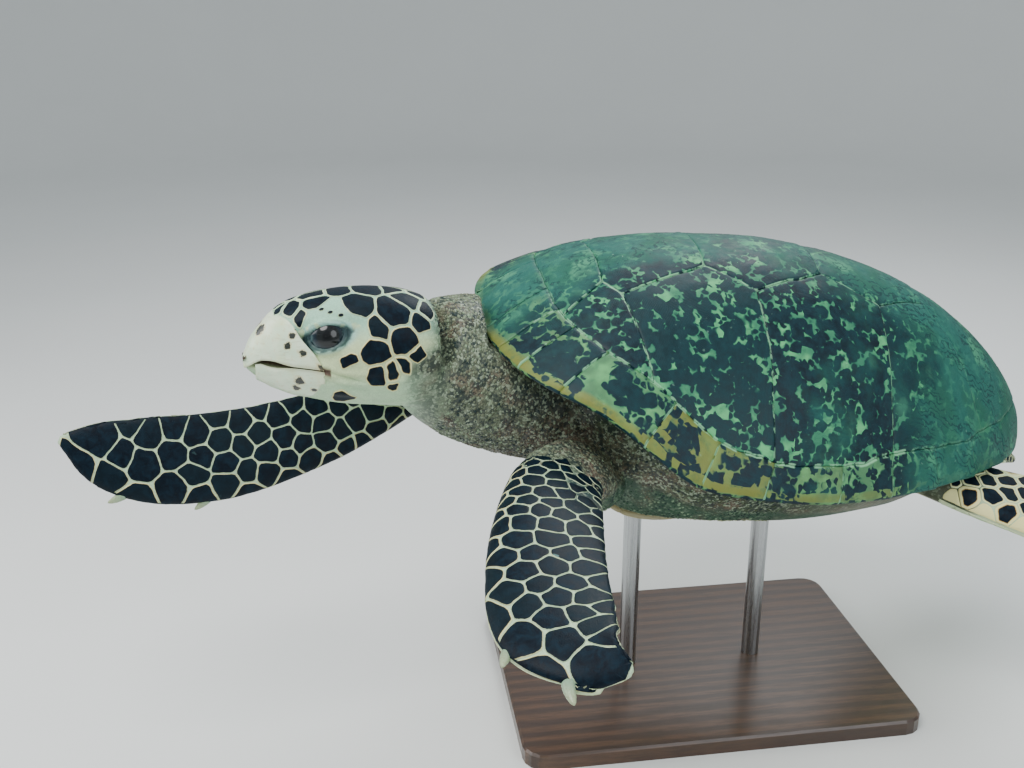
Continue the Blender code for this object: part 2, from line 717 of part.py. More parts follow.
discard([*rim_cutters.values(), trunk_cutter, head_cutter, neck_cutter, plastron_cutter])
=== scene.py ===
"""Looks of the life-size hawksbill sea turtle on its display stand.

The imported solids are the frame. One skin stands for the flesh, and every shell plate, beak half,
eye and claw is a modelled piece over its own solid. Scales are raised plates on the skin.
Body frame: x left, y back, z up from the shell's rim plane. All sizes are in metres.
"""

import math
from itertools import product

import bmesh
import bpy
import numpy as np
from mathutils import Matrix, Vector
from mathutils.bvhtree import BVHTree
from mathutils.geometry import delaunay_2d_cdt


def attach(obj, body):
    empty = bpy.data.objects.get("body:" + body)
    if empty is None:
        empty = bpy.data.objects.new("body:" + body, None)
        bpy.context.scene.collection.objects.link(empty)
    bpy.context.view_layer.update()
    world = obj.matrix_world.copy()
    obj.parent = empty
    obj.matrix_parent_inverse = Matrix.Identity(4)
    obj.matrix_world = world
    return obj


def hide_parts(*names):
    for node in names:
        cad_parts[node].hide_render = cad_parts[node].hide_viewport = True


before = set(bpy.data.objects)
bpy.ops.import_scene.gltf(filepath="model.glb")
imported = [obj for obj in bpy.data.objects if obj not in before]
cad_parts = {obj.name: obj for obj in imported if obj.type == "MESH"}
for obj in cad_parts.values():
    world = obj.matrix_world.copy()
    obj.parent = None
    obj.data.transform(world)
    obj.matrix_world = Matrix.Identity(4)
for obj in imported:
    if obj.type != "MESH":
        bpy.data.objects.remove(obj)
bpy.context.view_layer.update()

# ---- the solids' own numbers: shell ----
SHELL_LENGTH, SHELL_WIDTH, DOME_HEIGHT = 0.815, 0.568, 0.228
WIDEST_AT, FRONT_FULLNESS, REAR_FULLNESS = 0.34, 0.56, 0.58
DOME_PEAK_AT, DOME_FRONT_POWER, DOME_REAR_POWER = 0.488, 0.78, 0.66
RIM_OVER_FLIPPER, FRONT_LIFT, REAR_LIFT = 0.058, 0.045, 0.036
PLATE, RIM_THICK, RIM_DEPTH = 0.007, 0.008, 0.014
RIM_JOINTS = (0.0025, 0.016, 0.040, 0.092, 0.215, 0.31, 0.41, 0.54, 0.64, 0.735, 0.825, 0.91, 1.0)
STEPS_PER_RIM_PLATE, NUCHAL_STEPS = 3, 2
RING_V1, RING_C12, RING_C23, RING_C34, RING_V5 = 6, 13, 20, 26, 33
V_CORNERS = (
    (0.155, 0.30), (0.18, 0.40), (0.31, 0.24), (0.385, 0.37), (0.50, 0.23), (0.60, 0.35), (0.70, 0.20)
)
BELLY_DEPTH = ((0.0, 0.045), (0.08, 0.070), (0.2, 0.096), (0.45, 0.084), (0.75, 0.062), (1.0, 0.025))
BELLY_REACH, BULGE_REACH = 0.24, 0.06
PLASTRON_SHARE, PLASTRON = 0.62, 0.008
SHOULDER_AT, SHOULDER_BULGE, SHOULDER_SPAN = (0.195, -0.215), 0.034, 0.085
HIP_AT, HIP_BULGE, HIP_SPAN = (0.15, 0.25), 0.018, 0.07

# ---- the solids' own numbers: pose, head, neck and limbs ----
NOSE_UP, LEFT_DOWN, HEADING = math.radians(14.3), math.radians(5.5), math.radians(-1.4)
TURTLE_AT = np.array((-0.015, 0.07, 0.42))
HEAD_LENGTH, HEAD_AT, HEAD_TURN = 0.23, (0.113, -0.562, 0.144), math.radians(7.5)
HEAD_WIDTH = (
    (0.0, 0.004), (0.04, 0.016), (0.10, 0.026), (0.20, 0.039), (0.32, 0.050), (0.5, 0.058), (0.7, 0.0615),
    (0.88, 0.058), (1.0, 0.049),
)
HEAD_TOP = (
    (0.0, -0.002), (0.04, 0.018), (0.10, 0.036), (0.20, 0.056), (0.32, 0.066), (0.5, 0.0715), (0.7, 0.070),
    (0.88, 0.062), (1.0, 0.050),
)
HEAD_BOTTOM = (
    (0.0, -0.014), (0.04, -0.024), (0.10, -0.034), (0.20, -0.046), (0.32, -0.056), (0.5, -0.066),
    (0.7, -0.073), (0.88, -0.078), (1.0, -0.078),
)
MOUTH_Z = -0.0125
EYE_AT, EYE_RADIUS = (0.031, 0.425, 0.0265), 0.0265
NECK_PATH = ((0.0, -0.22, 0.020), (0.018, -0.33, 0.055), (0.052, -0.41, 0.094), (0.086, -0.460, 0.125))
NECK_SIDE = ((0.0, 0.135), (0.333, 0.122), (0.667, 0.095), (1.0, 0.064))
NECK_TALL = ((0.0, 0.085), (0.333, 0.096), (0.667, 0.092), (1.0, 0.070))
ARM_LEFT = (
    (0.16, -0.265, -0.030), (0.252, -0.318, 0.010), (0.35, -0.348, 0.021), (0.45, -0.369, 0.018),
    (0.543, -0.377, 0.010), (0.600, -0.357, 0.008), (0.624, -0.323, 0.004),
)
ARM_LEFT_LEAD = ((-0.18, -0.93, 0.20), (0.0, -0.95, -0.28))
ARM_LEFT_CHORD = (
    (0.0, 0.050), (0.17, 0.052), (0.34, 0.059), (0.52, 0.061), (0.70, 0.057), (0.82, 0.043), (0.92, 0.024),
    (1.0, 0.006),
)
ARM_RIGHT = (
    (-0.150, -0.285, 0.050), (-0.088, -0.395, 0.052), (-0.026, -0.485, 0.036), (0.018, -0.592, 0.006),
    (0.052, -0.715, -0.012), (0.070, -0.822, -0.003), (0.064, -0.912, 0.027),
)
ARM_RIGHT_LEAD = ((0.25, 0.05, -0.96), (0.30, -0.25, -0.92))
ARM_RIGHT_CHORD = (
    (0.0, 0.048), (0.17, 0.042), (0.34, 0.041), (0.52, 0.050), (0.70, 0.058), (0.84, 0.052), (0.94, 0.032),
    (1.0, 0.006),
)
ARM_THICK = (
    (0.0, 0.100), (0.1, 0.085), (0.2, 0.058), (0.4, 0.034), (0.7, 0.022), (0.9, 0.012), (1.0, 0.006)
)
ARM_CLAWS = (0.70, 0.84)
LEG_PATH = (
    (0.090, 0.235, -0.010), (0.145, 0.305, -0.004), (0.195, 0.385, 0.006), (0.232, 0.465, 0.012),
    (0.255, 0.540, 0.010),
)
LEG_LEAD = ((0.80, -0.45, -0.35), (0.86, -0.15, -0.45))
LEG_CHORD = ((0.0, 0.040), (0.3, 0.050), (0.6, 0.062), (0.85, 0.052), (0.95, 0.034), (1.0, 0.008))
LEG_THICK = ((0.0, 0.050), (0.3, 0.034), (0.6, 0.022), (0.9, 0.012), (1.0, 0.006))
LEG_CLAW = 0.72
CLAW_LENGTH, CLAW_RADIUS = 0.020, 0.0065
TAIL_PATH = ((0.0, 0.30, -0.005), (0.0, 0.355, 0.0), (0.0, 0.405, -0.004), (0.0, 0.437, -0.010))
TAIL_RADIUS = ((0.0, 0.040), (0.333, 0.030), (0.667, 0.018), (1.0, 0.005))


# ---- small mathematics ----
def smooth(x):
    x = np.clip(x, 0.0, 1.0)
    return x * x * (3 - 2 * x)


def curve(pairs, at):
    """A smooth line through (position, value) pairs."""
    x, y = np.array(pairs, float).T
    slope = np.gradient(y, x)
    at = np.clip(np.asarray(at, float), x[0], x[-1])
    k = np.clip(np.searchsorted(x, at) - 1, 0, len(x) - 2)
    h = x[k + 1] - x[k]
    u = (at - x[k]) / h
    low = (2 * u**3 - 3 * u**2 + 1) * y[k] + (u**3 - 2 * u**2 + u) * h * slope[k]
    return low + (3 * u**2 - 2 * u**3) * y[k + 1] + (u**3 - u**2) * h * slope[k + 1]


def along(points, at):
    """A Catmull-Rom curve through the points, at shares of the way."""
    pts = np.array(points, float)
    pts = np.vstack([2 * pts[0] - pts[1], pts, 2 * pts[-1] - pts[-2]])
    spans = len(pts) - 3
    at = np.asarray(at, float) * spans
    k = np.clip(at.astype(int), 0, spans - 1)
    u = (at - k)[..., None]
    a, b, c, d = (pts[k + i] for i in range(4))
    return 0.5 * (2 * b + (c - a) * u + (2 * a - 5 * b + 4 * c - d) * u**2 + (3 * b - a - 3 * c + d) * u**3)


def unit(v):
    return v / np.maximum(np.linalg.norm(v, axis=-1, keepdims=True), 1e-12)


def lattice(cell, seed):
    """A repeatable value in -1..1 for each whole-numbered cell."""
    h = (cell.astype(np.int64) * np.array((73856093, 19349663, 83492791))).sum(-1) + seed * 2654435761
    h = (h ^ (h >> 13)) * 1274126177 & 0xFFFFFFFF
    h = (h ^ (h >> 16)) & 0xFFFFFF
    return h / float(0x7FFFFF) - 1.0


def noise(points, size, seed=0):
    """Smooth noise in -1..1 whose features are about size across."""
    p = np.asarray(points, float) / size
    cell = np.floor(p)
    f = p - cell
    f = f * f * (3 - 2 * f)
    total = 0.0
    for offset in product((0, 1), repeat=3):
        weight = np.where(offset, f, 1 - f).prod(1)
        total = total + weight * lattice(cell + offset, seed)
    return total


def octaves(points, size, count=3, seed=0):
    return sum(noise(points, size / 2**k, seed + k) / 2**k for k in range(count))


def flat3(xy):
    """Plan points with a zero height, so that noise can read them."""
    return np.column_stack([xy, np.zeros(len(xy))])


def turn_about(axis, angle):
    c, s = math.cos(angle), math.sin(angle)
    x, y, z = axis
    k = np.array(((0, -z, y), (z, 0, -x), (-y, x, 0)))
    return np.eye(3) + s * k + (1 - c) * k @ k


POSE = turn_about((0, 0, 1), HEADING) @ turn_about((0, 1, 0), LEFT_DOWN) @ turn_about((1, 0, 0), -NOSE_UP)
HEAD_POSE = turn_about((0, 0, 1), HEAD_TURN)


def posed(points):
    """From the body frame to the world."""
    return np.asarray(points, float) @ POSE.T + TURTLE_AT


def unposed(points):
    return (np.asarray(points, float) - TURTLE_AT) @ POSE


def placed(points):
    """From a frame level with the world at the shell's centre to the world."""
    return np.asarray(points, float) + TURTLE_AT


def head_placed(points):
    return np.asarray(points, float) @ HEAD_POSE.T + np.array(HEAD_AT) + TURTLE_AT


def head_local(points):
    return (np.asarray(points, float) - TURTLE_AT - np.array(HEAD_AT)) @ HEAD_POSE


# ---- meshes ----
def piece(name, points, faces):
    """A new mesh object from arrays, smooth shaded, with its faces pointing out."""
    mesh = bpy.data.meshes.new(name)
    mesh.from_pydata(np.asarray(points, float).tolist(), [], [tuple(int(i) for i in f) for f in faces])
    work = bmesh.new()
    work.from_mesh(mesh)
    bmesh.ops.recalc_face_normals(work, faces=work.faces)
    if work.calc_volume(signed=True) < 0:
        bmesh.ops.reverse_faces(work, faces=work.faces)
    work.to_mesh(mesh)
    work.free()
    mesh.shade_smooth()
    obj = bpy.data.objects.new(name, mesh)
    bpy.context.scene.collection.objects.link(obj)
    return obj


def attribute(obj, name, values):
    """Stores one number or one vector for each vertex."""
    values = np.asarray(values, np.float32)
    kind, key = ("FLOAT_VECTOR", "vector") if values.ndim == 2 else ("FLOAT", "value")
    data = obj.data.attributes.new(name, kind, "POINT").data
    data.foreach_set(key, values.ravel())


def bake_map(obj, uv):
    """The OFBake UV map, from one (u, v) for each vertex."""
    layer = obj.data.uv_layers.new(name="OFBake")
    vertex = np.empty(len(obj.data.loops), np.int32)
    obj.data.loops.foreach_get("vertex_index", vertex)
    layer.data.foreach_set("uv", np.asarray(uv, np.float32)[vertex].ravel())


def tube_faces(rings, around, offset=0):
    """Quads between closed rings, with a fan at each end; hubs follow the rings' points."""
    k = np.arange(around)
    n = (k + 1) % around
    faces = []
    for r in range(rings - 1):
        a = offset + r * around
        faces += list(zip(a + k, a + n, a + around + n, a + around + k))
    hub = offset + rings * around
    last = offset + (rings - 1) * around
    faces += [(hub, b, a) for a, b in zip(offset + k, offset + n)]
    faces += [(hub + 1, a, b) for a, b in zip(last + k, last + n)]
    return faces


def tube_points(rings):
    rings = np.asarray(rings, float)
    return np.vstack([rings.reshape(-1, 3), rings[0].mean(0), rings[-1].mean(0)])


# ---- the shell's surface ----
def half_width(t):
    a = math.log(0.5) / math.log(WIDEST_AT)
    b = FRONT_FULLNESS + (REAR_FULLNESS - FRONT_FULLNESS) * np.clip((t - 0.25) / 0.35, 0, 1)
    return SHELL_WIDTH / 2 * np.clip(np.sin(np.pi * np.clip(t, 0, 1) ** a), 0, 1) ** b


def rim_height(t):
    return RIM_OVER_FLIPPER * (1 - smooth((t - 0.12) / 0.22)) + REAR_LIFT * smooth((t - 0.45) / 0.55)


def top_height(xy):
    x, y = np.asarray(xy, float).T
    t = np.clip(y / SHELL_LENGTH + 0.5, 1e-6, 1 - 1e-6)
    s = np.clip(np.abs(x) / np.maximum(half_width(t), 1e-6), 0, 1)
    c = math.log(0.5) / math.log(DOME_PEAK_AT)
    power = DOME_FRONT_POWER + (DOME_REAR_POWER - DOME_FRONT_POWER) * smooth((t - 0.15) / 0.5)
    crest = DOME_HEIGHT * np.clip(np.sin(np.pi * t**c), 0, 1) ** power
    base = FRONT_LIFT * (1 - smooth(t / 0.4)) + REAR_LIFT * smooth((t - 0.45) / 0.55)
    return base + (rim_height(t) - base) * s**3 + crest * (1 - s**2) ** 0.96


def shell_normal(xy):
    e, inward = 0.002, 0.985
    xy = np.asarray(xy, float) * inward
    dx = (top_height(xy + (e, 0)) - top_height(xy - (e, 0))) / (2 * e)
    dy = (top_height(xy + (0, e)) - top_height(xy - (0, e))) / (2 * e)
    return unit(np.column_stack([-dx, -dy, np.ones(len(xy))]))


def on_shell(xy, lift):
    """Points of the shell's surface over plan points, raised along its normal."""
    xy = np.asarray(xy, float)
    return np.column_stack([xy, top_height(xy)]) + shell_normal(xy) * np.reshape(lift, (-1, 1))


def seam_share(t):
    return 0.84 + 0.08 * smooth((t - 0.15) / 0.25)


def rim_steps(per_plate):
    """Shares of the shell's length where one side of the rim is divided, per_plate to each rim plate."""
    turn = [math.acos(1 - 2 * t) / math.pi for t in RIM_JOINTS]
    nuchal = max(1, round(NUCHAL_STEPS * per_plate / STEPS_PER_RIM_PLATE))
    steps = [turn[0] * k / nuchal for k in range(nuchal)]
    for a, b in zip(turn, turn[1:]):
        steps += [a + (b - a) * k / per_plate for k in range(per_plate)]
    return (1 - np.cos(np.pi * np.array([*steps, 1.0]))) / 2


STEPS = rim_steps(STEPS_PER_RIM_PLATE)
LAST = len(STEPS) - 1


def outline(t, share, side=1):
    t = np.asarray(t, float)
    return np.stack([side * share * half_width(t), share * SHELL_LENGTH * (t - 0.5)], -1)


OUTLINE_T = (1 - np.cos(np.linspace(0, np.pi, 400))) / 2
OUTLINE_XY = outline(OUTLINE_T, 1.0)
OUTLINE_ANGLE = np.arctan2(OUTLINE_XY[:, 0], -OUTLINE_XY[:, 1])
OUTLINE_RADIUS = np.linalg.norm(OUTLINE_XY, axis=1)


def shell_share(xy):
    """How far out plan points lie, 1 being the rim, and the t of their ray's end."""
    angle = np.arctan2(np.abs(xy[:, 0]), -xy[:, 1])
    radius = np.interp(angle, OUTLINE_ANGLE, OUTLINE_RADIUS)
    return np.linalg.norm(xy, axis=1) / radius, np.interp(angle, OUTLINE_ANGLE, OUTLINE_T)


def belly_height(t, share, side):
    xy = outline(t, share, side)
    x, y = xy[..., 0], xy[..., 1]
    edge = rim_height(t) - RIM_DEPTH
    depth = -curve(BELLY_DEPTH, y / SHELL_LENGTH + 0.5)
    inward = seam_share(t) - share
    z = edge + (depth - edge) * smooth(inward / BELLY_REACH)
    shoulder, hip = (SHOULDER_AT, SHOULDER_BULGE, SHOULDER_SPAN), (HIP_AT, HIP_BULGE, HIP_SPAN)
    for (bulge_x, bulge_y), bulge, span in (shoulder, hip):
        far = ((np.abs(x) - bulge_x) ** 2 + (y - bulge_y) ** 2) / span**2
        z = z - bulge * np.exp(-far) * smooth(inward / BULGE_REACH)
    return z


# ---- the flesh: forms of the head, neck, trunk, limbs and tail ----
SKIN_CELL = 0.003
FLESH_UNDER_PLATE, FLESH_UNDER_RIM, RIM_SLOPE = 0.0025, 0.001, 0.005
MOUTH_LINE = ((0.0, 0.001), (0.04, 0.0), (0.19, -0.004), (0.38, -0.010), (0.47, -0.017), (0.67, -0.036))


def head_section(u):
    w, top, low = (curve(t, u) for t in (HEAD_WIDTH, HEAD_TOP, HEAD_BOTTOM))
    return w, top, low, MOUTH_Z + 0.25 * (top - MOUTH_Z)


def head_point(u, angle, out=0.0):
    """The head's surface at a share of its length and an angle up from its left side."""
    u, angle = np.broadcast_arrays(np.asarray(u, float), np.asarray(angle, float))
    w, top, low, widest = head_section(u)
    c, s = np.cos(angle), np.sin(angle)
    x = (w + out) * np.sign(c) * np.abs(c) ** 0.85
    reach = np.where(s >= 0, top - widest, widest - low) + out
    z = widest + reach * np.sign(s) * np.abs(s) ** 0.9
    return np.stack([x, HEAD_LENGTH * (u - 0.5), z], -1)


def head_rings():
    turn = np.linspace(0, 2 * math.pi, 64, endpoint=False)
    shares = np.linspace(0, 1, 48) ** 1.2
    return [head_placed(head_point(u, turn)) for u in shares]


def round_rings(path, sides, talls, to_world, around=56, steps=32):
    turn = np.linspace(0, 2 * math.pi, around, endpoint=False)[:, None]
    rings = []
    for at in np.linspace(0, 1, steps):
        ahead = along(path, min(at + 0.02, 1)) - along(path, max(at - 0.02, 0))
        across = unit(np.cross(ahead, (0, 0, 1)))
        up = unit(np.cross(across, ahead))
        w, h = curve(sides, at), curve(talls, at)
        rings.append(to_world(along(path, at) + across * w * np.cos(turn) + up * h * np.sin(turn)))
    return rings


def limb_frame(path, leads, at):
    ahead = unit(along(path, min(at + 0.02, 1)) - along(path, max(at - 0.02, 0)))
    lead = np.array(leads[0]) * (1 - at) + np.array(leads[1]) * at
    lead = unit(lead - ahead * np.dot(lead, ahead))
    return along(path, at), ahead, lead, np.cross(ahead, lead)


def limb_section(path, leads, chords, thicks, at, angle):
    """One section of a fin, from its leading edge at angle 0 round to its trailing edge at pi."""
    centre, _, lead, normal = limb_frame(path, leads, at)
    chord, thick = curve(chords, at), curve(thicks, at)
    c, s = np.cos(angle)[:, None], np.sin(angle)[:, None]
    return centre + lead * chord * c + normal * thick / 2 * s * (1 + 0.35 * c)


def limb_rings(path, leads, chords, thicks, to_world):
    turn = np.linspace(0, 2 * math.pi, 64, endpoint=False)
    shares = np.linspace(0, 1, 90) ** 0.9
    return [to_world(limb_section(path, leads, chords, thicks, at, turn)) for at in shares]


def trunk_rings():
    """From the middle of the back over the rim to the middle of the belly."""
    t = (1 - np.cos(np.linspace(0, math.pi, 70))) / 2
    t, side = np.concatenate([t, t[-2:0:-1]]), np.concatenate([np.ones(70), -np.ones(68)])
    seam = seam_share(t)
    rings = []
    for share in (0.03, 0.15, 0.3, 0.45, 0.6, 0.72, 0.82):
        rings.append(posed(on_shell(outline(t, share * seam / 0.84, side), -PLATE - 0.001)))
    xy = outline(t, seam - 0.004, side)
    rings.append(posed(on_shell(xy, -PLATE - 0.001)))
    rings.append(posed(np.column_stack([xy, rim_height(t) - RIM_DEPTH])))
    for share in np.linspace(0.97, 0.04, 22):
        below = share * seam
        rings.append(posed(np.column_stack([outline(t, below, side), belly_height(t, below, side)])))
    return rings


LIMBS = {
    "front_left": (ARM_LEFT, ARM_LEFT_LEAD, ARM_LEFT_CHORD, ARM_THICK, placed, -1),
    "front_right": (ARM_RIGHT, ARM_RIGHT_LEAD, ARM_RIGHT_CHORD, ARM_THICK, placed, 1),
    "hind_left": (LEG_PATH, LEG_LEAD, LEG_CHORD, LEG_THICK, posed, -1),
    "hind_right": (
        [(-x, y, z) for x, y, z in LEG_PATH], [(-x, y, z) for x, y, z in LEG_LEAD], LEG_CHORD, LEG_THICK,
        posed, 1,
    ),
}


def flesh_form():
    """All the forms in one mesh, fused by a voxel remesh."""
    forms = [head_rings(), trunk_rings(), round_rings(NECK_PATH, NECK_SIDE, NECK_TALL, placed)]
    forms.append(round_rings(TAIL_PATH, TAIL_RADIUS, [(a, r * TAIL_FLAT) for a, r in TAIL_RADIUS], posed))
    forms += [limb_rings(*limb[:5]) for limb in LIMBS.values()]
    points, faces, count = [], [], 0
    for rings in forms:
        own = tube_points(rings)
        faces += tube_faces(len(rings), len(rings[0]), count)
        points.append(own)
        count += len(own)
    form = piece("flesh_form", np.vstack(points), faces)
    fuse = form.modifiers.new("fuse", "REMESH")
    fuse.mode, fuse.voxel_size = "VOXEL", SKIN_CELL
    bpy.context.view_layer.update()
    fused = bpy.data.meshes.new_from_object(form.evaluated_get(bpy.context.evaluated_depsgraph_get()))
    bpy.data.objects.remove(form)
    return fused


def read_mesh(mesh):
    points = np.empty(len(mesh.vertices) * 3)
    mesh.vertices.foreach_get("co", points)
    edges = np.empty(len(mesh.edges) * 2, np.int32)
    mesh.edges.foreach_get("vertices", edges)
    return points.reshape(-1, 3), edges.reshape(-1, 2)


def read_normals(mesh):
    normals = np.empty(len(mesh.vertices) * 3)
    mesh.vertices.foreach_get("normal", normals)
    return normals.reshape(-1, 3)


def relax(points, edges, weight, rounds):
    """Moves each point toward its neighbours' middle, by its weight."""
    count = np.bincount(edges.ravel(), minlength=len(points))[:, None]
    for _ in range(rounds):
        total = np.stack(
            [
                np.bincount(edges[:, 0], points[edges[:, 1], k], len(points))
                + np.bincount(edges[:, 1], points[edges[:, 0], k], len(points))
                for k in range(3)
            ],
            1,
        )
        points = points + (total / np.maximum(count, 1) - points) * weight[:, None]
    return points


def path_distance(points, path, within=0.12):
    """How far points are from a path, up to a limit, and the share of the way where they are nearest."""
    at = np.linspace(0, 1, 25)
    line = along(path, at)
    near = np.flatnonzero(((points > line.min(0) - within) & (points < line.max(0) + within)).all(1))
    own = points[near]
    far, where = np.full(len(near), np.inf), np.zeros(len(near))
    for k in range(len(line) - 1):
        run = line[k + 1] - line[k]
        u = np.clip((own - line[k]) @ run / (run @ run), 0, 1)
        d = np.linalg.norm(own - line[k] - u[:, None] * run, axis=1)
        nearer = d < far
        far[nearer], where[nearer] = d[nearer], at[k] + u[nearer] * (at[1] - at[0])
    every_far, every_where = np.ones(len(points)), np.zeros(len(points))
    every_far[near], every_where[near] = far, where
    return every_far, every_where


def head_coordinates(points):
    """The share along the head, and the angle round it, of world points."""
    q = head_local(points)
    u = q[:, 1] / HEAD_LENGTH + 0.5
    _, _, _, widest = head_section(u)
    return q, u, np.arctan2(q[:, 2] - widest, q[:, 0])


def under_shell(points):
    """Holds flesh down under the shell plates and the rim."""
    q = unposed(points)
    share, t = shell_share(q[:, :2])
    seam = seam_share(t)
    ceiling = np.full(len(points), np.inf)
    inner = share < seam
    ceiling[inner] = top_height(q[inner, :2]) - PLATE - FLESH_UNDER_PLATE
    rim = (share >= seam) & (share < 1.02)
    across = (share[rim] - seam[rim]) / (1 - seam[rim])
    ceiling[rim] = rim_height(t[rim]) - RIM_DEPTH - FLESH_UNDER_RIM + RIM_SLOPE * across
    q[:, 2] = np.minimum(q[:, 2], ceiling)
    return posed(q)


# The eye: where its opening looks, how wide it is, and how much of its height lies over and under the
# middle.
EYE_OUT = (0.955, -0.10, 0.28)
EYE_TILT = math.radians(8)
EYE_HALF_WIDE, EYE_HALF_HIGH, EYE_FORWARD = 0.0240, 0.0122, 0.0015
OPEN_ABOVE, OPEN_BELOW = 0.86, 1.12
EYE_SUNK, LID_THICK = 0.005, 0.0014


def eye_frame(side):
    """The eye's centre, its outward axis, and the directions back and up across its opening."""
    centre = np.array((side * EYE_AT[0], HEAD_LENGTH * (EYE_AT[1] - 0.5), EYE_AT[2]))
    out = unit(np.array((side * EYE_OUT[0], EYE_OUT[1], EYE_OUT[2])))
    back = unit(np.array((0, 1.0, 0)) - out * out[1])
    up = np.cross(out, back) * side
    c, s = math.cos(EYE_TILT), math.sin(EYE_TILT)
    return centre, out, back * c + up * s, up * c - back * s


def eye_opening(q, side):
    """Places round an eye: how far out, e (1 at the lids' edge), back and up from the opening's middle."""
    centre, out, back, up = eye_frame(side)
    d = q - centre
    a, b = d @ back + EYE_FORWARD, d @ up
    high = EYE_HALF_HIGH * np.where(b > 0, OPEN_ABOVE, OPEN_BELOW)
    return d, d @ out, np.sqrt((a / EYE_HALF_WIDE) ** 2 + (b / high) ** 2), a, b


def shape_eyes(q):
    """Sinks the eye openings, raises the lids round them, and wrinkles the skin at their corners."""
    for side in (1, -1):
        d, out, e, a, b = eye_opening(q, side)
        r = np.linalg.norm(d, axis=1)
        sunk = EYE_RADIUS - EYE_SUNK
        lid = EYE_RADIUS + LID_THICK + 0.0036 * smooth(b / 0.013) * np.exp(-((e - 1.42) ** 2) / 0.14)
        lid += 0.0011 * smooth(b / 0.006) * octaves(q, 0.009, 2, 15)
        lid += 0.0012 * smooth(-b / 0.01) * np.exp(-((e - 1.3) ** 2) / 0.05)
        wrinkle = np.sin(e * 17 + 2.0 * np.sin(a * 130)) * smooth((e - 1.05) / 0.15)
        lid += 0.00065 * wrinkle * (1 - smooth((e - 2.0) / 0.5))
        goal = sunk + (lid - sunk) * smooth((e - 0.9) / 0.14)
        pull = smooth(out / 0.01) * (1 - smooth((e - 1.35) / 1.1)) * (np.abs(r - EYE_RADIUS) < 0.03)
        q = q + d / np.maximum(r, 1e-9)[:, None] * ((goal - r) * pull)[:, None]
    return q


# Folds at the corner of the mouth: how far each rises, how high over the mouth's line, and its width.
MOUTH_FOLDS = (
    (-0.0026, 0.0, 0.0016), (0.0012, 0.005, 0.004), (0.0010, -0.006, 0.003), (-0.0012, -0.011, 0.0018)
)
THROAT_FOLDS, THROAT_FOLD_DEPTH = 27, 0.0010


def shape_head(points):
    """Draws the flesh in under the beak, and makes the mouth's corner, the throat's folds and the eyes."""
    q, u, angle = head_coordinates(points)
    w, top, low, widest = head_section(u)
    reach = np.where(q[:, 2] > widest, top - widest, widest - low)
    near = (u > -0.1) & (u < 1.02) & ((q[:, 0] / w) ** 2 + ((q[:, 2] - widest) / reach) ** 2 < 1.6)
    part, un, an = q[near], u[near], angle[near]
    # The flesh draws back under the beak and gapes a little at the front of the mouth.
    mouth = curve(MOUTH_LINE, un)
    covered = 1 - smooth((un - beak_end(an) + 0.030) / 0.026)
    out = unit(np.column_stack([part[:, 0], 0 * un, part[:, 2] - mouth]))
    part = part - out * (0.0028 * covered)[:, None]
    gap = np.exp(-(((part[:, 2] - mouth) / 0.006) ** 2)) * (1 - smooth((un - 0.30) / 0.10))
    part[:, 0] -= np.sign(part[:, 0]) * 0.012 * gap
    # The corner of the mouth runs on behind the beak as a crease with a soft fold over it.
    crease = smooth((un - 0.34) / 0.06) * (1 - smooth((un - 0.50) / 0.16))
    crease = crease * smooth(np.abs(part[:, 0]) / 0.03)
    away = (part[:, 2] - mouth) * 0.85
    fold = sum(rise * np.exp(-(((away - at) / wide) ** 2)) for rise, at, wide in MOUTH_FOLDS)
    part = part + out * (fold * crease)[:, None]
    # Fine folds run along the throat.
    loose = smooth((-0.20 - np.sin(an)) / 0.3) * smooth((un - 0.34) / 0.15)
    loose = loose * (1 - smooth((un - 0.84) / 0.15))
    wave = np.sin(THROAT_FOLDS * an + 3.5 * noise(part, 0.035, 14))
    part = part + out * (THROAT_FOLD_DEPTH * wave * loose)[:, None]
    q[near] = shape_eyes(part)
    return head_placed(q)


def beak_end(angle):
    """How far back the horn of the beak reaches: slanting down from the forehead, before the eye."""
    down = np.degrees(np.arccos(np.clip(np.sin(angle), -1, 1)))
    upper = 0.17 + 0.11 * smooth(down / 75) + 0.11 * smooth((down - 62) / 46)
    lower = 0.37 - 0.07 * smooth((down - 115) / 50)
    return np.where(down < 118, upper, lower)


NECK_SPAN, NECK_FOLD, FRONT_SKIN = 0.30, 0.026, 0.04


def neck_weight(points):
    """1 on the loose skin of neck and shoulders, 0 on the head and the limbs, and the share of the neck."""
    front = np.flatnonzero(points[:, 1] < FRONT_SKIN)
    q = points[front] - TURTLE_AT
    far, at = path_distance(q, NECK_PATH, 0.34)
    _, u, _ = head_coordinates(points[front])
    weight, share = np.zeros(len(points)), np.zeros(len(points))
    weight[front] = smooth((u - 0.92) / 0.16) * (1 - smooth((far - 0.26) / 0.07))
    share[front] = at
    for arm in (ARM_LEFT, ARM_RIGHT):
        away, s = path_distance(q, arm)
        weight[front] *= 1 - smooth((s - 0.16) / 0.10) * (away < 0.11)
    return weight, share


def shape_neck(points, normals):
    """Rings of loose folds across the neck, and fine wrinkles between them."""
    weight, at = neck_weight(points)
    phase = at * NECK_SPAN / NECK_FOLD + 0.55 * octaves(points, 0.07, 2, 11)
    fold = 1 - 2 * (1 - np.abs(np.sin(math.pi * phase))) ** 3
    depth = 0.0012 * (0.35 + 0.65 * smooth(0.5 + noise(points, 0.06, 12)))
    lift = depth * fold + 0.0007 * octaves(points, 0.012, 2, 13)
    loose = weight > 0
    return points + normals * (lift * weight * loose)[:, None]


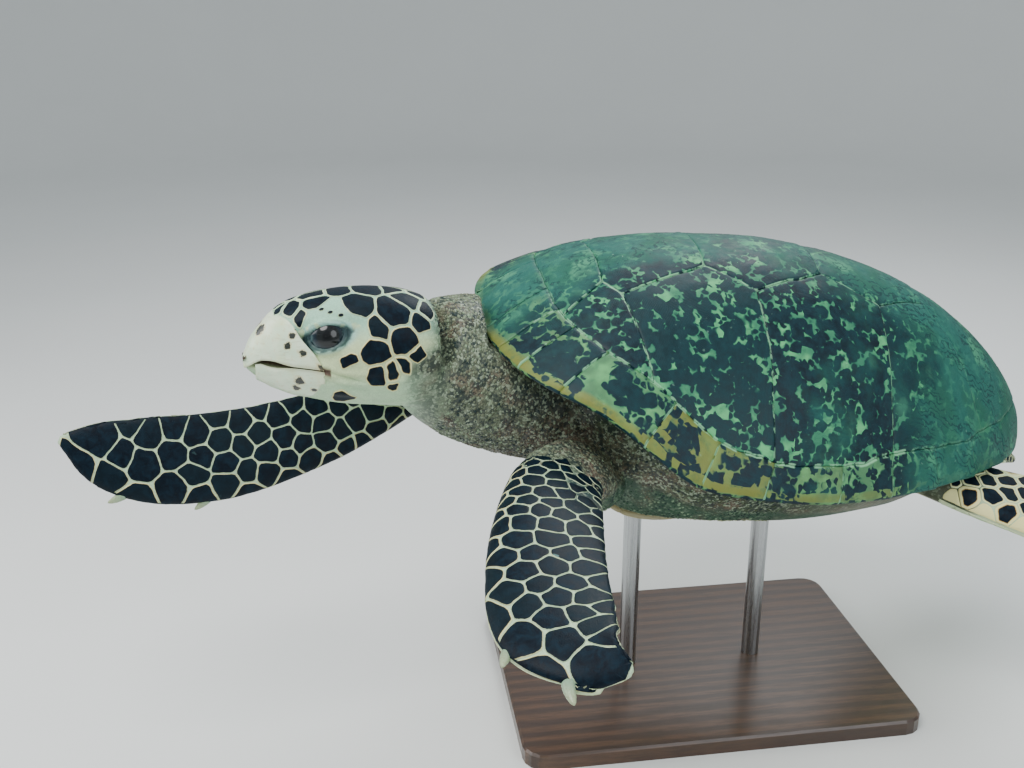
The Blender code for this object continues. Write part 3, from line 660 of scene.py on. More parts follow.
def skin_piece():
    fused = flesh_form()
    points, edges = read_mesh(fused)
    _, u, _ = head_coordinates(points)
    points = relax(points, edges, 0.6 * smooth(1 - np.abs(u - 1.04) / 0.22), 40)
    points = under_shell(relax(points, edges, np.full(len(points), 0.5), 3))
    fused.vertices.foreach_set("co", points.ravel())
    fused.update()
    hidden = under_plates(points)
    _, u, _ = head_coordinates(points)
    loose, _ = neck_weight(points)
    fine = ((u < 1.0) | (loose > 0.3)) & (points[:, 1] < -0.25) & ~hidden
    work = bmesh.new()
    work.from_mesh(fused)
    work.verts.ensure_lookup_table()
    chosen = [e for e in work.edges if fine[e.verts[0].index] and fine[e.verts[1].index]]
    bmesh.ops.subdivide_edges(work, edges=chosen, cuts=1, use_grid_fill=True)
    bmesh.ops.triangulate(work, faces=[f for f in work.faces if len(f.verts) > 4])
    work.to_mesh(fused)
    work.free()
    skin = bpy.data.objects.new("skin", fused)
    bpy.context.scene.collection.objects.link(skin)
    thin_hidden(skin)
    mesh = skin.data
    points, edges = read_mesh(mesh)
    _, u, _ = head_coordinates(points)
    points = relax(points, edges, 0.5 * ((u < 1.3) | (neck_weight(points)[0] > 0)), 2)
    points = shape_neck(points, read_normals(mesh))
    points = shape_head(points)
    mesh.vertices.foreach_set("co", points.ravel())
    mesh.update()
    mesh.shade_smooth()
    return skin


def under_plates(points):
    """The flesh that the shell's plates cover."""
    body = unposed(points)
    share, t = shell_share(body[:, :2])
    return (share < seam_share(t) - 0.03) & (body[:, 2] > 0.5 * top_height(body[:, :2]))


def thin_hidden(skin):
    """Fewer faces where the shell's plates cover the flesh."""
    hidden = under_plates(read_mesh(skin.data)[0])
    skin.vertex_groups.new(name="hidden").add([int(i) for i in np.flatnonzero(hidden)], 1.0, "REPLACE")
    thin = skin.modifiers.new("thin", "DECIMATE")
    thin.vertex_group, thin.ratio = "hidden", 1 - 0.93 * hidden.mean()
    bpy.context.view_layer.update()
    mesh = bpy.data.meshes.new_from_object(skin.evaluated_get(bpy.context.evaluated_depsgraph_get()))
    skin.modifiers.clear()
    skin.vertex_groups.clear()
    skin.data = mesh


# ---- skin laid flat, and the plates that lie on it ----
class Patch:
    """Skin laid flat: a runs along its rows and b across them, in metres, with b = 0 down the middle."""

    def __init__(self, rows, centres, columns=61):
        self.columns = columns
        even, half = [], []
        for row in rows:
            arc = np.concatenate([[0], np.cumsum(np.linalg.norm(np.diff(row, axis=0), axis=1))])
            spread = np.linspace(0, arc[-1], columns)
            even.append(np.stack([np.interp(spread, arc, row[:, k]) for k in range(3)], 1))
            half.append(arc[-1] / 2)
        self.points, self.half = np.array(even), np.array(half)
        spine = self.points[:, columns // 2]
        self.a = np.concatenate([[0], np.cumsum(np.linalg.norm(np.diff(spine, axis=0), axis=1))])
        normals = unit(np.cross(np.gradient(self.points, axis=0), np.gradient(self.points, axis=1)))
        outward = self.points - np.asarray(centres)[:, None, :]
        self.normals = normals * np.sign((normals * outward).sum())

    def width(self, a):
        return np.interp(a, self.a, self.half)

    def at(self, plan):
        """Points and normals of the skin at (a, b)."""
        a, b = np.asarray(plan, float).T
        row = np.clip(np.interp(a, self.a, np.arange(len(self.a))), 0, len(self.a) - 1.001)
        column = np.clip((b / self.width(a) + 1) / 2, 0, 1) * (self.columns - 1)
        column = np.clip(column, 0, self.columns - 1.001)
        i, j = row.astype(int), column.astype(int)
        u, v = (row - i)[:, None], (column - j)[:, None]

        def mix(grid):
            near = grid[i, j] * (1 - v) + grid[i, j + 1] * v
            return near * (1 - u) + (grid[i + 1, j] * (1 - v) + grid[i + 1, j + 1] * v) * u

        return mix(self.points), unit(mix(self.normals))


def limb_patch(limb, back):
    """One face of a fin: the back's or, with back False, the under face. b rises to the leading edge."""
    path, leads, chords, thicks, to_world, back_sign = limb
    turn = np.linspace(math.pi, 0, 49) * (back_sign if back else -back_sign)
    shares = np.linspace(FIN_FROM, 1.0, 70)
    rows = [to_world(limb_section(path, leads, chords, thicks, at, turn)) for at in shares]
    return Patch(rows, [to_world(along(path, at)) for at in shares])


HEAD_ROWS = np.linspace(0.02, 1.04, 60)


def head_patch():
    """The whole head, opened along the chin: b = 0 on the crown and falls to the left side."""
    turn = np.radians(np.linspace(-90, 270, 241))
    rows, middle = [], []
    for u in HEAD_ROWS:
        past_the_end = (0, HEAD_LENGTH * max(u - 1, 0), 0)
        rows.append(head_placed(head_point(min(u, 1.0), turn) + past_the_end))
        middle.append(head_placed((0, HEAD_LENGTH * (u - 0.5), 0)))
    return Patch(rows, middle)


def on_head(patch, seeds):
    """(a, b) of places given as a share of the head's length and degrees up from its left side."""
    u, degrees = np.array(seeds, float)[:, :2].T
    a = np.interp(u, HEAD_ROWS, patch.a)
    spots = []
    for share, angle, along_a in zip(u, degrees, a):
        turn = np.radians(np.linspace(min(angle, 90), max(angle, 90), 30))
        run = head_point(min(share, 1.0), turn)
        reach = np.linalg.norm(np.diff(run, axis=0), axis=1).sum()
        spots.append((along_a, math.copysign(reach, angle - 90)))
    return np.array(spots)


def clip(polygon, normal, offset):
    """The part of a convex polygon where dot(point, normal) <= offset."""
    kept = []
    for p, q in zip(polygon, np.roll(polygon, -1, axis=0)):
        dp, dq = p @ normal - offset, q @ normal - offset
        if dp <= 0:
            kept.append(p)
        if dp * dq < 0:
            kept.append(p + (q - p) * dp / (dp - dq))
    return np.array(kept).reshape(-1, 2)


def rounded(polygon, rounds=2, cut=0.22):
    for _ in range(rounds):
        ahead = np.roll(polygon, -1, axis=0)
        pair = np.stack([polygon * (1 - cut) + ahead * cut, polygon * cut + ahead * (1 - cut)], 1)
        polygon = pair.reshape(-1, 2)
    return polygon


def evenly(polygon, step, least=14):
    """A closed outline resampled at about equal steps."""
    loop = np.vstack([polygon, polygon[:1]])
    arc = np.concatenate([[0], np.cumsum(np.linalg.norm(np.diff(loop, axis=0), axis=1))])
    count = max(least, int(arc[-1] / step))
    spread = np.linspace(0, arc[-1], count, endpoint=False)
    return np.stack([np.interp(spread, arc, loop[:, k]) for k in (0, 1)], 1)


def cells(patch, seeds, ghosts=(), gap=0.0006, margin=0.0018, step=0.0019, reach=0.045, cut=0.13):
    """Outlines of close-set plates round their seeds (a, b, size), which end half way to the ghosts.

    gap lies between plates, margin along the patch's edges, and step is the outlines' spacing.
    """
    seeds = np.asarray(seeds, float)
    others = np.vstack([seeds, np.asarray(ghosts, float).reshape(-1, 3)])
    pull = others[:, 2] * np.abs(others[:, 2])
    found = []
    for index, here in enumerate(seeds[:, :2]):
        polygon = np.array(((-1, -1), (1, -1), (1, 1), (-1, 1))) * reach
        for other in np.flatnonzero(np.linalg.norm(others[:, :2] - here, axis=1) < 2 * reach):
            if other == index:
                continue
            way = others[other, :2] - here
            far = np.linalg.norm(way)
            offset = (far**2 + pull[index] - pull[other]) / (2 * far) - gap / 2
            polygon = clip(polygon, way / far, offset)
            if len(polygon) < 3:
                break
        if len(polygon) < 3:
            found.append(None)
            continue
        plan = evenly(rounded(polygon + here, cut=cut), step)
        plan = plan + 0.0009 * np.stack([noise(flat3(plan), 0.011, k) for k in (41, 42)], 1)
        plan[:, 0] = np.minimum(plan[:, 0], patch.a[-1] - 2 * margin)
        edge = patch.width(plan[:, 0]) - margin
        plan[:, 1] = np.clip(plan[:, 1], -edge, edge)
        found.append(plan)
    return found


# How far in from a plate's edge and how high over the skin its rings lie, from the foot of its rim up.
PLATE_RINGS = (
    (0.0, -0.0014), (0.0, -0.0002), (0.0004, 0.0004), (0.0010, 0.0007), (0.0019, 0.00085), (0.0030, 0.0009)
)
# The rings inside those, as shares of the way out from the middle, and the middle's own heights.
PLATE_SHARES, PLATE_CROWN, PLATE_FOOT = (0.8, 0.6, 0.4, 0.2), 0.0011, -0.0016
SMALLEST_PLATE, SMALL_RADIUS = 0.0012, 0.006


class Plates:
    """Gathers plates on patches of skin, then makes them one mesh."""

    def __init__(self, tree, rise=1.0):
        self.tree, self.rise = tree, rise
        self.points, self.faces, self.values, self.uv = [], [], [], []
        self.count = 0

    def settle(self, patch, plan):
        """The skin itself under (a, b), with the patch's smooth normals."""
        points, normals = patch.at(plan)
        for k in range(len(points)):
            normal = Vector(normals[k])
            hit = self.tree.ray_cast(Vector(points[k]) + normal * 0.008, -normal, 0.016)[0]
            if hit is not None:
                points[k] = hit
        return points, normals

    def add(self, patch, plan, seed, chart_at, spot, border, warm):
        """One plate over the plan outline. chart_at places its chart in the piece's bake map."""
        if plan is None:
            return
        middle = plan.mean(0)
        out = np.linalg.norm(plan - middle, axis=1)
        inner = min(out.min(), 0.05)
        if inner < SMALLEST_PLATE:
            return
        rings = [(inset, height, 1.0) for inset, height in PLATE_RINGS if inset < inner * 0.7]
        deep, high, _ = rings[-1]
        shares = PLATE_SHARES if inner > SMALL_RADIUS else PLATE_SHARES[::2]
        rings += [(deep, high + 0.0002 * (1 - share), share) for share in shares]
        plans, heights, edges = [], [], []
        for inset, height, share in rings:
            plans.append(middle + (plan - middle) * ((1 - inset / out) * share)[:, None])
            heights += [height] * len(plan)
            edges += [inset + (1 - share) * (inner - inset)] * len(plan)
        plans += [middle[None], middle[None]]
        heights += [PLATE_CROWN, PLATE_FOOT]
        edges += [inner, 0.0]
        plans, heights = np.vstack(plans), np.array(heights)
        points, normals = self.settle(patch, plans)
        grow = np.where(heights > 0, self.rise, 1.0)
        self.points.append(points + normals * (heights * grow)[:, None])
        n, first = len(plan), self.count
        k = np.arange(n)
        ahead = (k + 1) % n
        for r in range(len(rings) - 1):
            start = first + r * n
            self.faces += list(zip(start + k, start + ahead, start + n + ahead, start + n + k))
        top = first + (len(rings) - 1) * n
        crown = first + len(rings) * n
        self.faces += [(a, b, crown) for a, b in zip(top + k, top + ahead)]
        self.faces += [(b, a, crown + 1) for a, b in zip(first + k, first + ahead)]
        count = len(plans)
        self.count += count
        tone = lattice(np.array(((seed, 7, 3),)), 5)[0]
        facts = np.column_stack([edges, *(np.full(count, v) for v in (tone, spot, border, warm))])
        self.values.append(facts)
        self.uv.append(plans + chart_at)

    def make(self, name):
        obj = piece(name, np.vstack(self.points), self.faces)
        facts = np.vstack(self.values)
        for column, word in enumerate(("edge", "tone", "spot", "border", "warm")):
            attribute(obj, word, facts[:, column])
        uv = np.vstack(self.uv)
        low, span = uv.min(0), np.ptp(uv, axis=0).max()
        bake_map(obj, 0.01 + 0.98 * (uv - low) / span)
        return obj


# ---- where the plates of the skin lie ----
# Head: share of its length, degrees up from its left side, extra radius in mm, strength of the dark centre.
CROWN_PLATES = (
    (0.50, 90, 4, 1), (0.65, 90, 9, 1), (0.90, 90, 0, 0.8), (0.38, 90, 0, 0.9), (0.79, 90, 0, 0.9)
)
SIDE_PLATES = (
    # forehead: two pairs before the eyes, and a small one beside the beak
    (0.18, 75, 0, 0.9), (0.24, 65, 0, 0.9), (0.29, 45, -2, 0.95),
    # over the eye, and the big ones on the sides of the crown
    (0.38, 65, 6, 1), (0.57, 55, 11, 1), (0.76, 45, 13, 1), (0.85, 70, 8, 1), (0.94, 55, 0, 0.9),
    # behind the eye, from the top down
    (0.90, 30, 4, 1), (0.66, 25, -3, 1), (0.80, 13, 9, 1), (0.63, 3, 9, 1), (0.50, -2, 1, 1),
    (0.88, -4, 2, 1),
    # the cheek and the jaw
    (0.65, -20, 3, 1), (0.74, -18, 0, 0.9), (0.81, -14, 0, 0.9), (0.75, -31, 3, 0.97), (0.48, -50, 6, 1),
)
CHEEK_SKIN = ((0.42, 6), (0.42, -8), (0.45, -22), (0.53, -17), (0.55, -32), (0.65, -38), (0.93, 14))
LID_SPOTS = ((0.40, 55), (0.44, 49), (0.49, 44))
EYE_SEAT, EYE_RING = (0.438, 18), (0.030, 0.0175)
LID_SKIN = ((0.33, 40), (0.37, 50), (0.41, 56), (0.46, 52), (0.51, 46), (0.54, 38))
LID_SPOT = (0.0036, 0.0025)
HEAD_BORDER, CHEEK_BORDER, HEAD_STEP = 0.0012, 0.0020, 0.0013

# Fins: a plate's size in metres at shares of the way to the tip, and what makes some larger or smaller.
ARM_PLATE = ((0.15, 0.020), (0.3, 0.025), (0.5, 0.029), (0.75, 0.033), (0.95, 0.042))
ARM_UNDER_PLATE = ((0.15, 0.028), (0.6, 0.034), (1.0, 0.042))
LEG_PLATE = ((0.1, 0.026), (0.5, 0.027), (1.0, 0.036))
SMALL_PLATE, LARGE_PLATE, SMALL_ONES = -0.006, 0.007, 0.24
ARM_SOFT = ((0.20, -0.3), (0.24, -0.42), (0.27, -0.6), (0.29, -0.85))
FIN_FROM = 0.08
TAIL_PLATE, TAIL_FLAT = (0.0085, 0.0095), 0.8


def mirrored_plates(rows):
    return [*rows, *((u, 180 - degrees, radius, spot) for u, degrees, radius, spot in rows)]


def mirrored_spots(places):
    return [*places, *((u, 180 - degrees) for u, degrees in places)]


def circle(count):
    """Points of a circle of radius 1."""
    turn = np.linspace(0, 2 * math.pi, count, endpoint=False)
    return np.column_stack([np.cos(turn), np.sin(turn)])


def head_ghosts(patch):
    """Stops the head's plates at the beak, the neck, the throat, round the eyes and on the bare cheek."""
    ends = []
    for degrees in np.arange(-64, 246, 8.0):
        angle = math.radians(degrees)
        front = float(beak_end(math.atan2(math.sin(angle), math.cos(angle)))) - 0.035
        side = abs(degrees - 90) / 90
        rear = 1.03 - 0.10 * smooth(side - 0.4) - 0.16 * smooth((side - 0.9) / 0.5)
        ends += [(front, degrees), (rear, degrees)]
    for u in np.arange(0.30, 1.0, 0.05):
        throat = -68 if u < 0.62 else -44
        ends += [(u, throat), (u, 180 - throat)]
    for u in (0.36, 0.62):
        ends += [(u, -52), (u, 232)]
    ends += mirrored_spots([*LID_SKIN, *CHEEK_SKIN])
    rings = [centre + circle(16) * EYE_RING for centre in on_head(patch, mirrored_spots([EYE_SEAT]))]
    return flat3(np.vstack([on_head(patch, ends), *rings]))


def head_scales(tree):
    patch = head_patch()
    rows = [*CROWN_PLATES, *mirrored_plates(SIDE_PLATES)]
    seeds = np.column_stack([on_head(patch, rows), [row[2] / 1000 for row in rows]])
    plans = cells(patch, seeds, head_ghosts(patch), margin=0.0003, step=HEAD_STEP)
    plates = Plates(tree)
    for index, (plan, (_, degrees, _, spot)) in enumerate(zip(plans, rows)):
        low = smooth((62 - min(degrees, 180 - degrees)) / 60)
        border = HEAD_BORDER + (CHEEK_BORDER - HEAD_BORDER) * low
        plates.add(patch, plan, index, (0, 0), spot, border, 0.15 + 0.85 * low)
    for index, centre in enumerate(on_head(patch, mirrored_spots(LID_SPOTS)), len(rows)):
        oval = evenly(centre + circle(16) * LID_SPOT, HEAD_STEP)
        plates.add(patch, oval, index, (0, 0), 1.0, 0.0005, 0.3)
    return plates.make("scales_head")


def fin_seeds(patch, sizes, start, seed):
    """(a, b, size) of a fin's plates: staggered rows, the largest at the rear edge and toward the tip."""
    shares = np.linspace(FIN_FROM, 1.0, len(patch.a))
    seeds, row = [], 0
    a, end = np.interp(start, shares, patch.a), patch.a[-1]
    while True:
        size = float(curve(sizes, np.interp(a, patch.a, shares)))
        a += 0.45 * size
        if a > end - 0.30 * size:
            return np.array(seeds)
        count = max(1, round(2 * float(patch.width(a)) / size - 0.2))
        for j in range(count):
            random = lattice(np.array(((row, j, 2),)) + np.arange(3)[:, None] * (0, 0, 7), seed)
            v = 2 * (j + 0.5 + 0.22 * (-1) ** row) / count - 1
            v = float(np.clip(v + 0.34 * random[0] / count, -0.92, 0.92))
            large = v < -0.35 or (v > 0.5 and a > 0.45 * end)
            small = random[2] > 1 - 2 * SMALL_ONES and abs(v) < 0.5
            extra = SMALL_PLATE if small else LARGE_PLATE if large else 0.0
            seeds.append((a + 0.24 * size * random[1] + 0.18 * size * v, v * float(patch.width(a)), extra))
        a, row = a + 0.45 * size, row + 1


def fin_ghosts(patch, start, soft):
    """Stops the plates short of the shoulder and of the soft skin behind it."""
    s, v = np.array([*((start, v) for v in np.linspace(-1, 1, 9)), *soft]).T
    a = np.interp(s, np.linspace(FIN_FROM, 1.0, len(patch.a)), patch.a)
    return flat3(np.column_stack([a, v * patch.width(a)]))


def fin_scales(name, tree, limb, sizes, start, border, warm=0.15, soft=()):
    """A fin's plates: dark on its back, and small weak marks in wide pale borders on its under face."""
    plates = Plates(tree)
    for side, back in ((sizes[0], True), (sizes[1], False)):
        patch = limb_patch(limb, back)
        seeds = fin_seeds(patch, side, start, 61 + limb[5] + 5 * back)
        chart_at = (0, 0) if back else (0, 2.3 * patch.half.max())
        for index, plan in enumerate(cells(patch, seeds, fin_ghosts(patch, start, soft))):
            a, b, _ = seeds[index]
            s, v = a / patch.a[-1], b / patch.width(a)
            if back:
                spot = 1.0
                edge = border * (1 + 1.1 * smooth((v - 0.45) / 0.4))
                heat = warm + 0.6 * smooth((v - 0.35) / 0.4)
            else:
                spot = 0.35 + 0.4 * smooth((s - 0.6) / 0.3)
                edge, heat = border * 2, 0.5
            plates.add(patch, plan, index, chart_at, spot, edge, heat)
    return plates.make(name)


def tail_scales(tree):
    """Small plates in staggered rows all round the tail, paler toward its underside."""
    turn = np.linspace(0, 2 * math.pi, 60, endpoint=True) - math.pi / 2
    rings, middle = [], []
    for at in np.linspace(0.25, 1.0, 30):
        wide = float(curve(TAIL_RADIUS, at))
        spot = along(TAIL_PATH, at)
        ring = spot + np.column_stack([wide * np.cos(turn), 0 * turn, TAIL_FLAT * wide * np.sin(turn)])
        rings.append(posed(ring))
        middle.append(posed(spot))
    patch = Patch(rings, middle)
    seeds = []
    for row, a in enumerate(np.arange(0.006, patch.a[-1] - 0.004, TAIL_PLATE[0])):
        width = float(patch.width(a))
        count = max(5, int(2 * width / TAIL_PLATE[1]))
        for k in range(count):
            v = min(2 * (k + 0.5 + 0.5 * (row % 2)) / count - 1, 1.0)
            seeds.append((a, v * width, 0.0))
    plates = Plates(tree, 0.8)
    for index, plan in enumerate(cells(patch, np.array(seeds))):
        a, b, _ = seeds[index]
        below = abs(b) / float(patch.width(a))
        plates.add(patch, plan, index, (0, 0), 1.0 - 0.8 * smooth((below - 0.5) / 0.3), 0.0011, 0.4)
    return plates.make("scales_tail")


# ---- grains: the small soft scales of the neck and shoulders ----
GRAIN_SIZE, GRAIN_COUNT, GRAIN_AROUND, GRAIN_SPACING = (0.0010, 0.0023), 7000, 6, 0.0033
GRAIN_SUNK, GRAIN_SHOULDER, GRAIN_TOP, NECK_MIDDLE = 0.0007, 0.34, 0.46, 0.02


def scattered(points, chance, count, spacing, seed):
    """Indices of up to count points, drawn by chance, none closer than spacing to another."""
    draw = np.random.default_rng(seed)
    tries = min(len(points), count * 6)
    order = draw.choice(len(points), size=tries, replace=False, p=chance / chance.sum())
    taken, kept = {}, []
    for index in order:
        home = tuple(np.floor(points[index] / spacing).astype(int))
        around = (tuple(home[k] + step[k] for k in range(3)) for step in product((-1, 0, 1), repeat=3))
        near = [taken[cell] for cell in around if cell in taken]
        if any(np.linalg.norm(points[other] - points[index]) < spacing for other in near):
            continue
        taken[home] = index
        kept.append(index)
        if len(kept) == count:
            break
    return np.array(kept)


def grains(name, skin, skin_uv, side):
    """The grains on one side of the neck, each a low six-sided bead sunk in the skin."""
    points, _ = read_mesh(skin.data)
    normals = read_normals(skin.data)
    weight, at = neck_weight(points)
    weight = np.where(under_plates(points) | (side * (points[:, 0] - NECK_MIDDLE) < 0), 0, weight)
    kept = scattered(points, np.maximum(weight - 0.25, 0) + 1e-12, GRAIN_COUNT, GRAIN_SPACING, 7)
    kept = kept[weight[kept] > 0.3]
    count, around = len(kept), GRAIN_AROUND
    draw = np.random.default_rng(8)
    size = draw.uniform(*GRAIN_SIZE, count) * (0.75 + 0.35 * smooth(0.5 + noise(points[kept], 0.03, 9)))
    after, before = np.minimum(at[kept] + 0.05, 1), np.maximum(at[kept] - 0.05, 0)
    ahead = unit(along(NECK_PATH, after) - along(NECK_PATH, before))
    foot, out = points[kept][:, None], normals[kept][:, None]
    long = unit(np.cross(normals[kept], ahead))[:, None] * draw.uniform(1.0, 1.7, count)[:, None, None]
    wide = unit(np.cross(normals[kept], long[:, 0]))[:, None]
    turn = np.linspace(0, 2 * math.pi, around, endpoint=False)
    reach = (draw.uniform(0.8, 1.15, (count, around)) * size[:, None])[..., None]
    rim = (long * np.cos(turn)[:, None] + wide * np.sin(turn)[:, None]) * reach
    size = size[:, None, None]
    sunk = foot - out * GRAIN_SUNK
    shoulder = foot + rim * 0.72 + out * size * GRAIN_SHOULDER
    beads = (sunk + rim, shoulder, sunk, foot + out * size * GRAIN_TOP)
    bead, own = tube_faces(2, around), 2 * around + 2
    faces = [tuple(i + own * k for i in face) for k in range(count) for face in bead]
    obj = piece(name, np.concatenate(beads, 1).reshape(-1, 3), faces)
    attribute(obj, "tone", np.repeat(draw.uniform(-1, 1, count), own))
    attribute(obj, "rise", np.tile(np.repeat((0, 0.8, 0, 1), (around, around, 1, 1)), count))
    ground = np.empty(len(skin.data.vertices) * 3)
    skin.data.attributes["ground"].data.foreach_get("vector", ground)
    attribute(obj, "ground", np.repeat(ground.reshape(-1, 3)[kept], own, axis=0))
    spread = circle(around) * 0.0015
    chart = np.vstack([spread, spread * 0.7, np.zeros((2, 2))])
    bake_map(obj, np.repeat(skin_uv[kept], own, axis=0) + np.tile(chart, (count, 1)))
    return obj


# ---- shell plates ----
SEAM_STEP, INNER_STEP, BELLY_STEP = 0.003, 0.0048, 0.007
EDGE_RINGS = (0.0007, 0.0016, 0.0029, 0.0046)
SEAM_INSET, SEAM_DEPTH, SEAM_WIDTH, BELLY_SEAM_WIDTH = 0.0002, 0.0016, 0.0013, 0.0016
LAP, LAP_REACH, TUCK, TUCK_REACH = 0.0016, 0.012, 0.0009, 0.010
RIPPLE, RIPPLE_LENGTH = 0.00016, 0.0085


def wavy(xy):
    """The slight waver of the seams, the same for both plates that meet at one."""
    p = flat3(xy)
    broad = np.stack([noise(p, 0.030, k) for k in (21, 22)], 1)
    fine = np.stack([noise(p, 0.007, k) for k in (23, 24)], 1)
    return xy + 0.0022 * broad + 0.0005 * fine


def straight(a, b):
    count = max(2, int(np.linalg.norm(b - a) / SEAM_STEP))
    return a + (b - a) * np.arange(count)[:, None] / count


def rim_turn(step):
    return math.acos(1 - 2 * STEPS[step]) / math.pi


def seam_run(first, last, side):
    """The seam with the rim plates between two of its steps, without its last point."""
    count = max(3, abs(last - first) * 9)
    turn = np.linspace(rim_turn(first), rim_turn(last), count, endpoint=False)
    t = (1 - np.cos(np.pi * turn)) / 2
    return outline(t, seam_share(t), side)


def ring_point(step, side):
    return outline(STEPS[step], seam_share(STEPS[step]), side)


def corner(k, side):
    t, s = V_CORNERS[k]
    return outline(t, 1.0, side) * (s, 0) + (0, SHELL_LENGTH * (t - 0.5))


def through(stops):
    """Straight seams from stop to stop, without the last point."""
    return np.vstack([straight(a, b) for a, b in zip(stops, stops[1:])])


def costal_loop(number, side):
    rings = (RING_V1, RING_C12, RING_C23, RING_C34, RING_V5)
    inner = {1: (1, 0), 2: (3, 2, 1), 3: (5, 4, 3), 4: (6, 5)}[number]
    first, last = rings[number - 1], rings[number]
    stops = [ring_point(last, side), *(corner(k, side) for k in inner), ring_point(first, side)]
    return np.vstack([seam_run(first, last, side), through(stops)])


def vertebral_loop(number):
    if number == 1:
        stops = [ring_point(RING_V1, 1), corner(0, 1), corner(0, -1), ring_point(RING_V1, -1)]
        return np.vstack([seam_run(0, RING_V1, 1), through(stops), seam_run(RING_V1, 0, -1)])
    if number == 5:
        stops = [ring_point(RING_V5, -1), corner(6, -1), corner(6, 1), ring_point(RING_V5, 1)]
        return np.vstack([seam_run(RING_V5, LAST, 1), seam_run(LAST, RING_V5, -1), through(stops)])
    first = 2 * (number - 2)
    left = [corner(k, 1) for k in range(first, first + 3)]
    right = [corner(k, -1) for k in range(first + 2, first - 1, -1)]
    return through([*left, *right, left[0]])


def loop_normals(loop):
    """Outward plan normals of a closed outline."""
    ahead = np.roll(loop, -1, axis=0) - np.roll(loop, 1, axis=0)
    normals = unit(np.column_stack([ahead[:, 1], -ahead[:, 0]]))
    x, y = loop.T
    area = (x * np.roll(y, -1) - np.roll(x, -1) * y).sum()
    return normals * np.sign(area)


def edge_distance(points, loop):
    """How far plan points lie from a closed outline, and the outward normal where they are nearest."""
    run = np.roll(loop, -1, axis=0) - loop
    normals = loop_normals(loop)
    far, nearest = np.full(len(points), np.inf), np.zeros(len(points), int)
    for k in range(len(loop)):
        u = np.clip((points - loop[k]) @ run[k] / (run[k] @ run[k]), 0, 1)
        d = np.linalg.norm(points - loop[k] - u[:, None] * run[k], axis=1)
        nearer = d < far
        far[nearer], nearest[nearer] = d[nearer], k
    return far, normals[nearest]


def fill(loop, step=INNER_STEP):
    """A triangulated plan inside an outline, closest at its edge."""
    normals = loop_normals(loop)
    points = [loop]
    for inset in EDGE_RINGS:
        ring = loop - normals * inset
        points.append(ring[edge_distance(ring, loop)[0] > 0.9 * inset])
    low, high = loop.min(0), loop.max(0)
    xs, ys = (np.arange(low[k], high[k], step * (1, 0.87)[k]) for k in (0, 1))
    grid = np.stack(np.meshgrid(xs, ys, indexing="ij"), -1)
    grid[..., 0] += (np.arange(len(ys)) % 2) * step / 2
    grid = grid.reshape(-1, 2)
    inner = grid[edge_distance(grid, loop)[0] > EDGE_RINGS[-1] + 0.6 * step]
    points = np.vstack([*points, inner])
    count = len(loop)
    edges = [(k, (k + 1) % count) for k in range(count)]
    verts, _, faces, _, _, _ = delaunay_2d_cdt([Vector(p) for p in points], edges, [], 1, 1e-6)
    return np.array(verts), faces, count


def closed_plate(loop, top, bottom, step=INNER_STEP):
    """Points and faces of a plate: top(plan) above, and a coarse bottom(plan) that closes it."""
    plan, faces, count = fill(loop, step)
    middle = loop.mean(0)
    rings = [middle + (loop - middle) * share for share in (1.0, 0.66, 0.33)]
    lower = np.vstack([*rings, middle[None]])
    start = len(plan)
    k = np.arange(count)
    n = (k + 1) % count
    faces = [tuple(f) for f in faces] + list(zip(n, k, start + k, start + n))
    for row in (0, 1):
        a = start + row * count
        faces += list(zip(a + n, a + k, a + count + k, a + count + n))
    a = start + 2 * count
    faces += [(p, q, start + 3 * count) for p, q in zip(a + n, a + k)]
    every = np.vstack([plan, lower])
    return np.vstack([top(plan), bottom(lower)]), faces, every


def seam_groove(far, width=SEAM_WIDTH):
    """How deep the surface sinks near a seam."""
    return SEAM_DEPTH * np.exp(-((far / width) ** 1.3))


def scute_lift(xy, loop, seed):
    """Relief: sunk seams, a low dome, growth ripples, and a rear margin that laps over the next plate."""
    far, normals = edge_distance(xy, loop)
    p = flat3(xy)
    lift = 0.0010 * smooth(far / 0.035) - seam_groove(far)
    lift += LAP * np.maximum(normals[:, 1], 0) * np.exp(-far / LAP_REACH)
    lift -= TUCK * np.maximum(-normals[:, 1], 0) * np.exp(-far / TUCK_REACH)
    ripple = np.sin(2 * math.pi * (far + 0.004 * noise(p, 0.03, seed)) / RIPPLE_LENGTH)
    lift += RIPPLE * ripple * smooth(far / 0.01) * (1 - smooth((far - 0.045) / 0.03))
    lift += 0.0007 * octaves(p, 0.05, 2, 31) + 0.00022 * octaves(p, 0.009, 2, 33)
    return lift, far


def shell_facts(obj, plan, far, seed, gold, clear):
    """What the shell's material needs to know of each point."""
    attribute(obj, "edge", far)
    attribute(obj, "tone", np.full(len(plan), lattice(np.array(((seed, 3, 1),)), 9)[0]))
    spread = plan / np.array((SHELL_WIDTH, SHELL_LENGTH))
    crest = 1 - smooth((np.abs(spread[:, 0] + 0.03) - 0.08) / 0.16)
    rear = smooth((spread[:, 1] + 0.08) / 0.44)
    blur = 0.30 * octaves(flat3(plan), 0.11, 3, 35)
    attribute(obj, "haze", np.clip(0.70 * crest + 0.95 * rear + blur - 0.02, 0, 1))
    attribute(obj, "gold", np.broadcast_to(gold, len(plan)))
    attribute(obj, "clear", np.broadcast_to(clear, len(plan)))


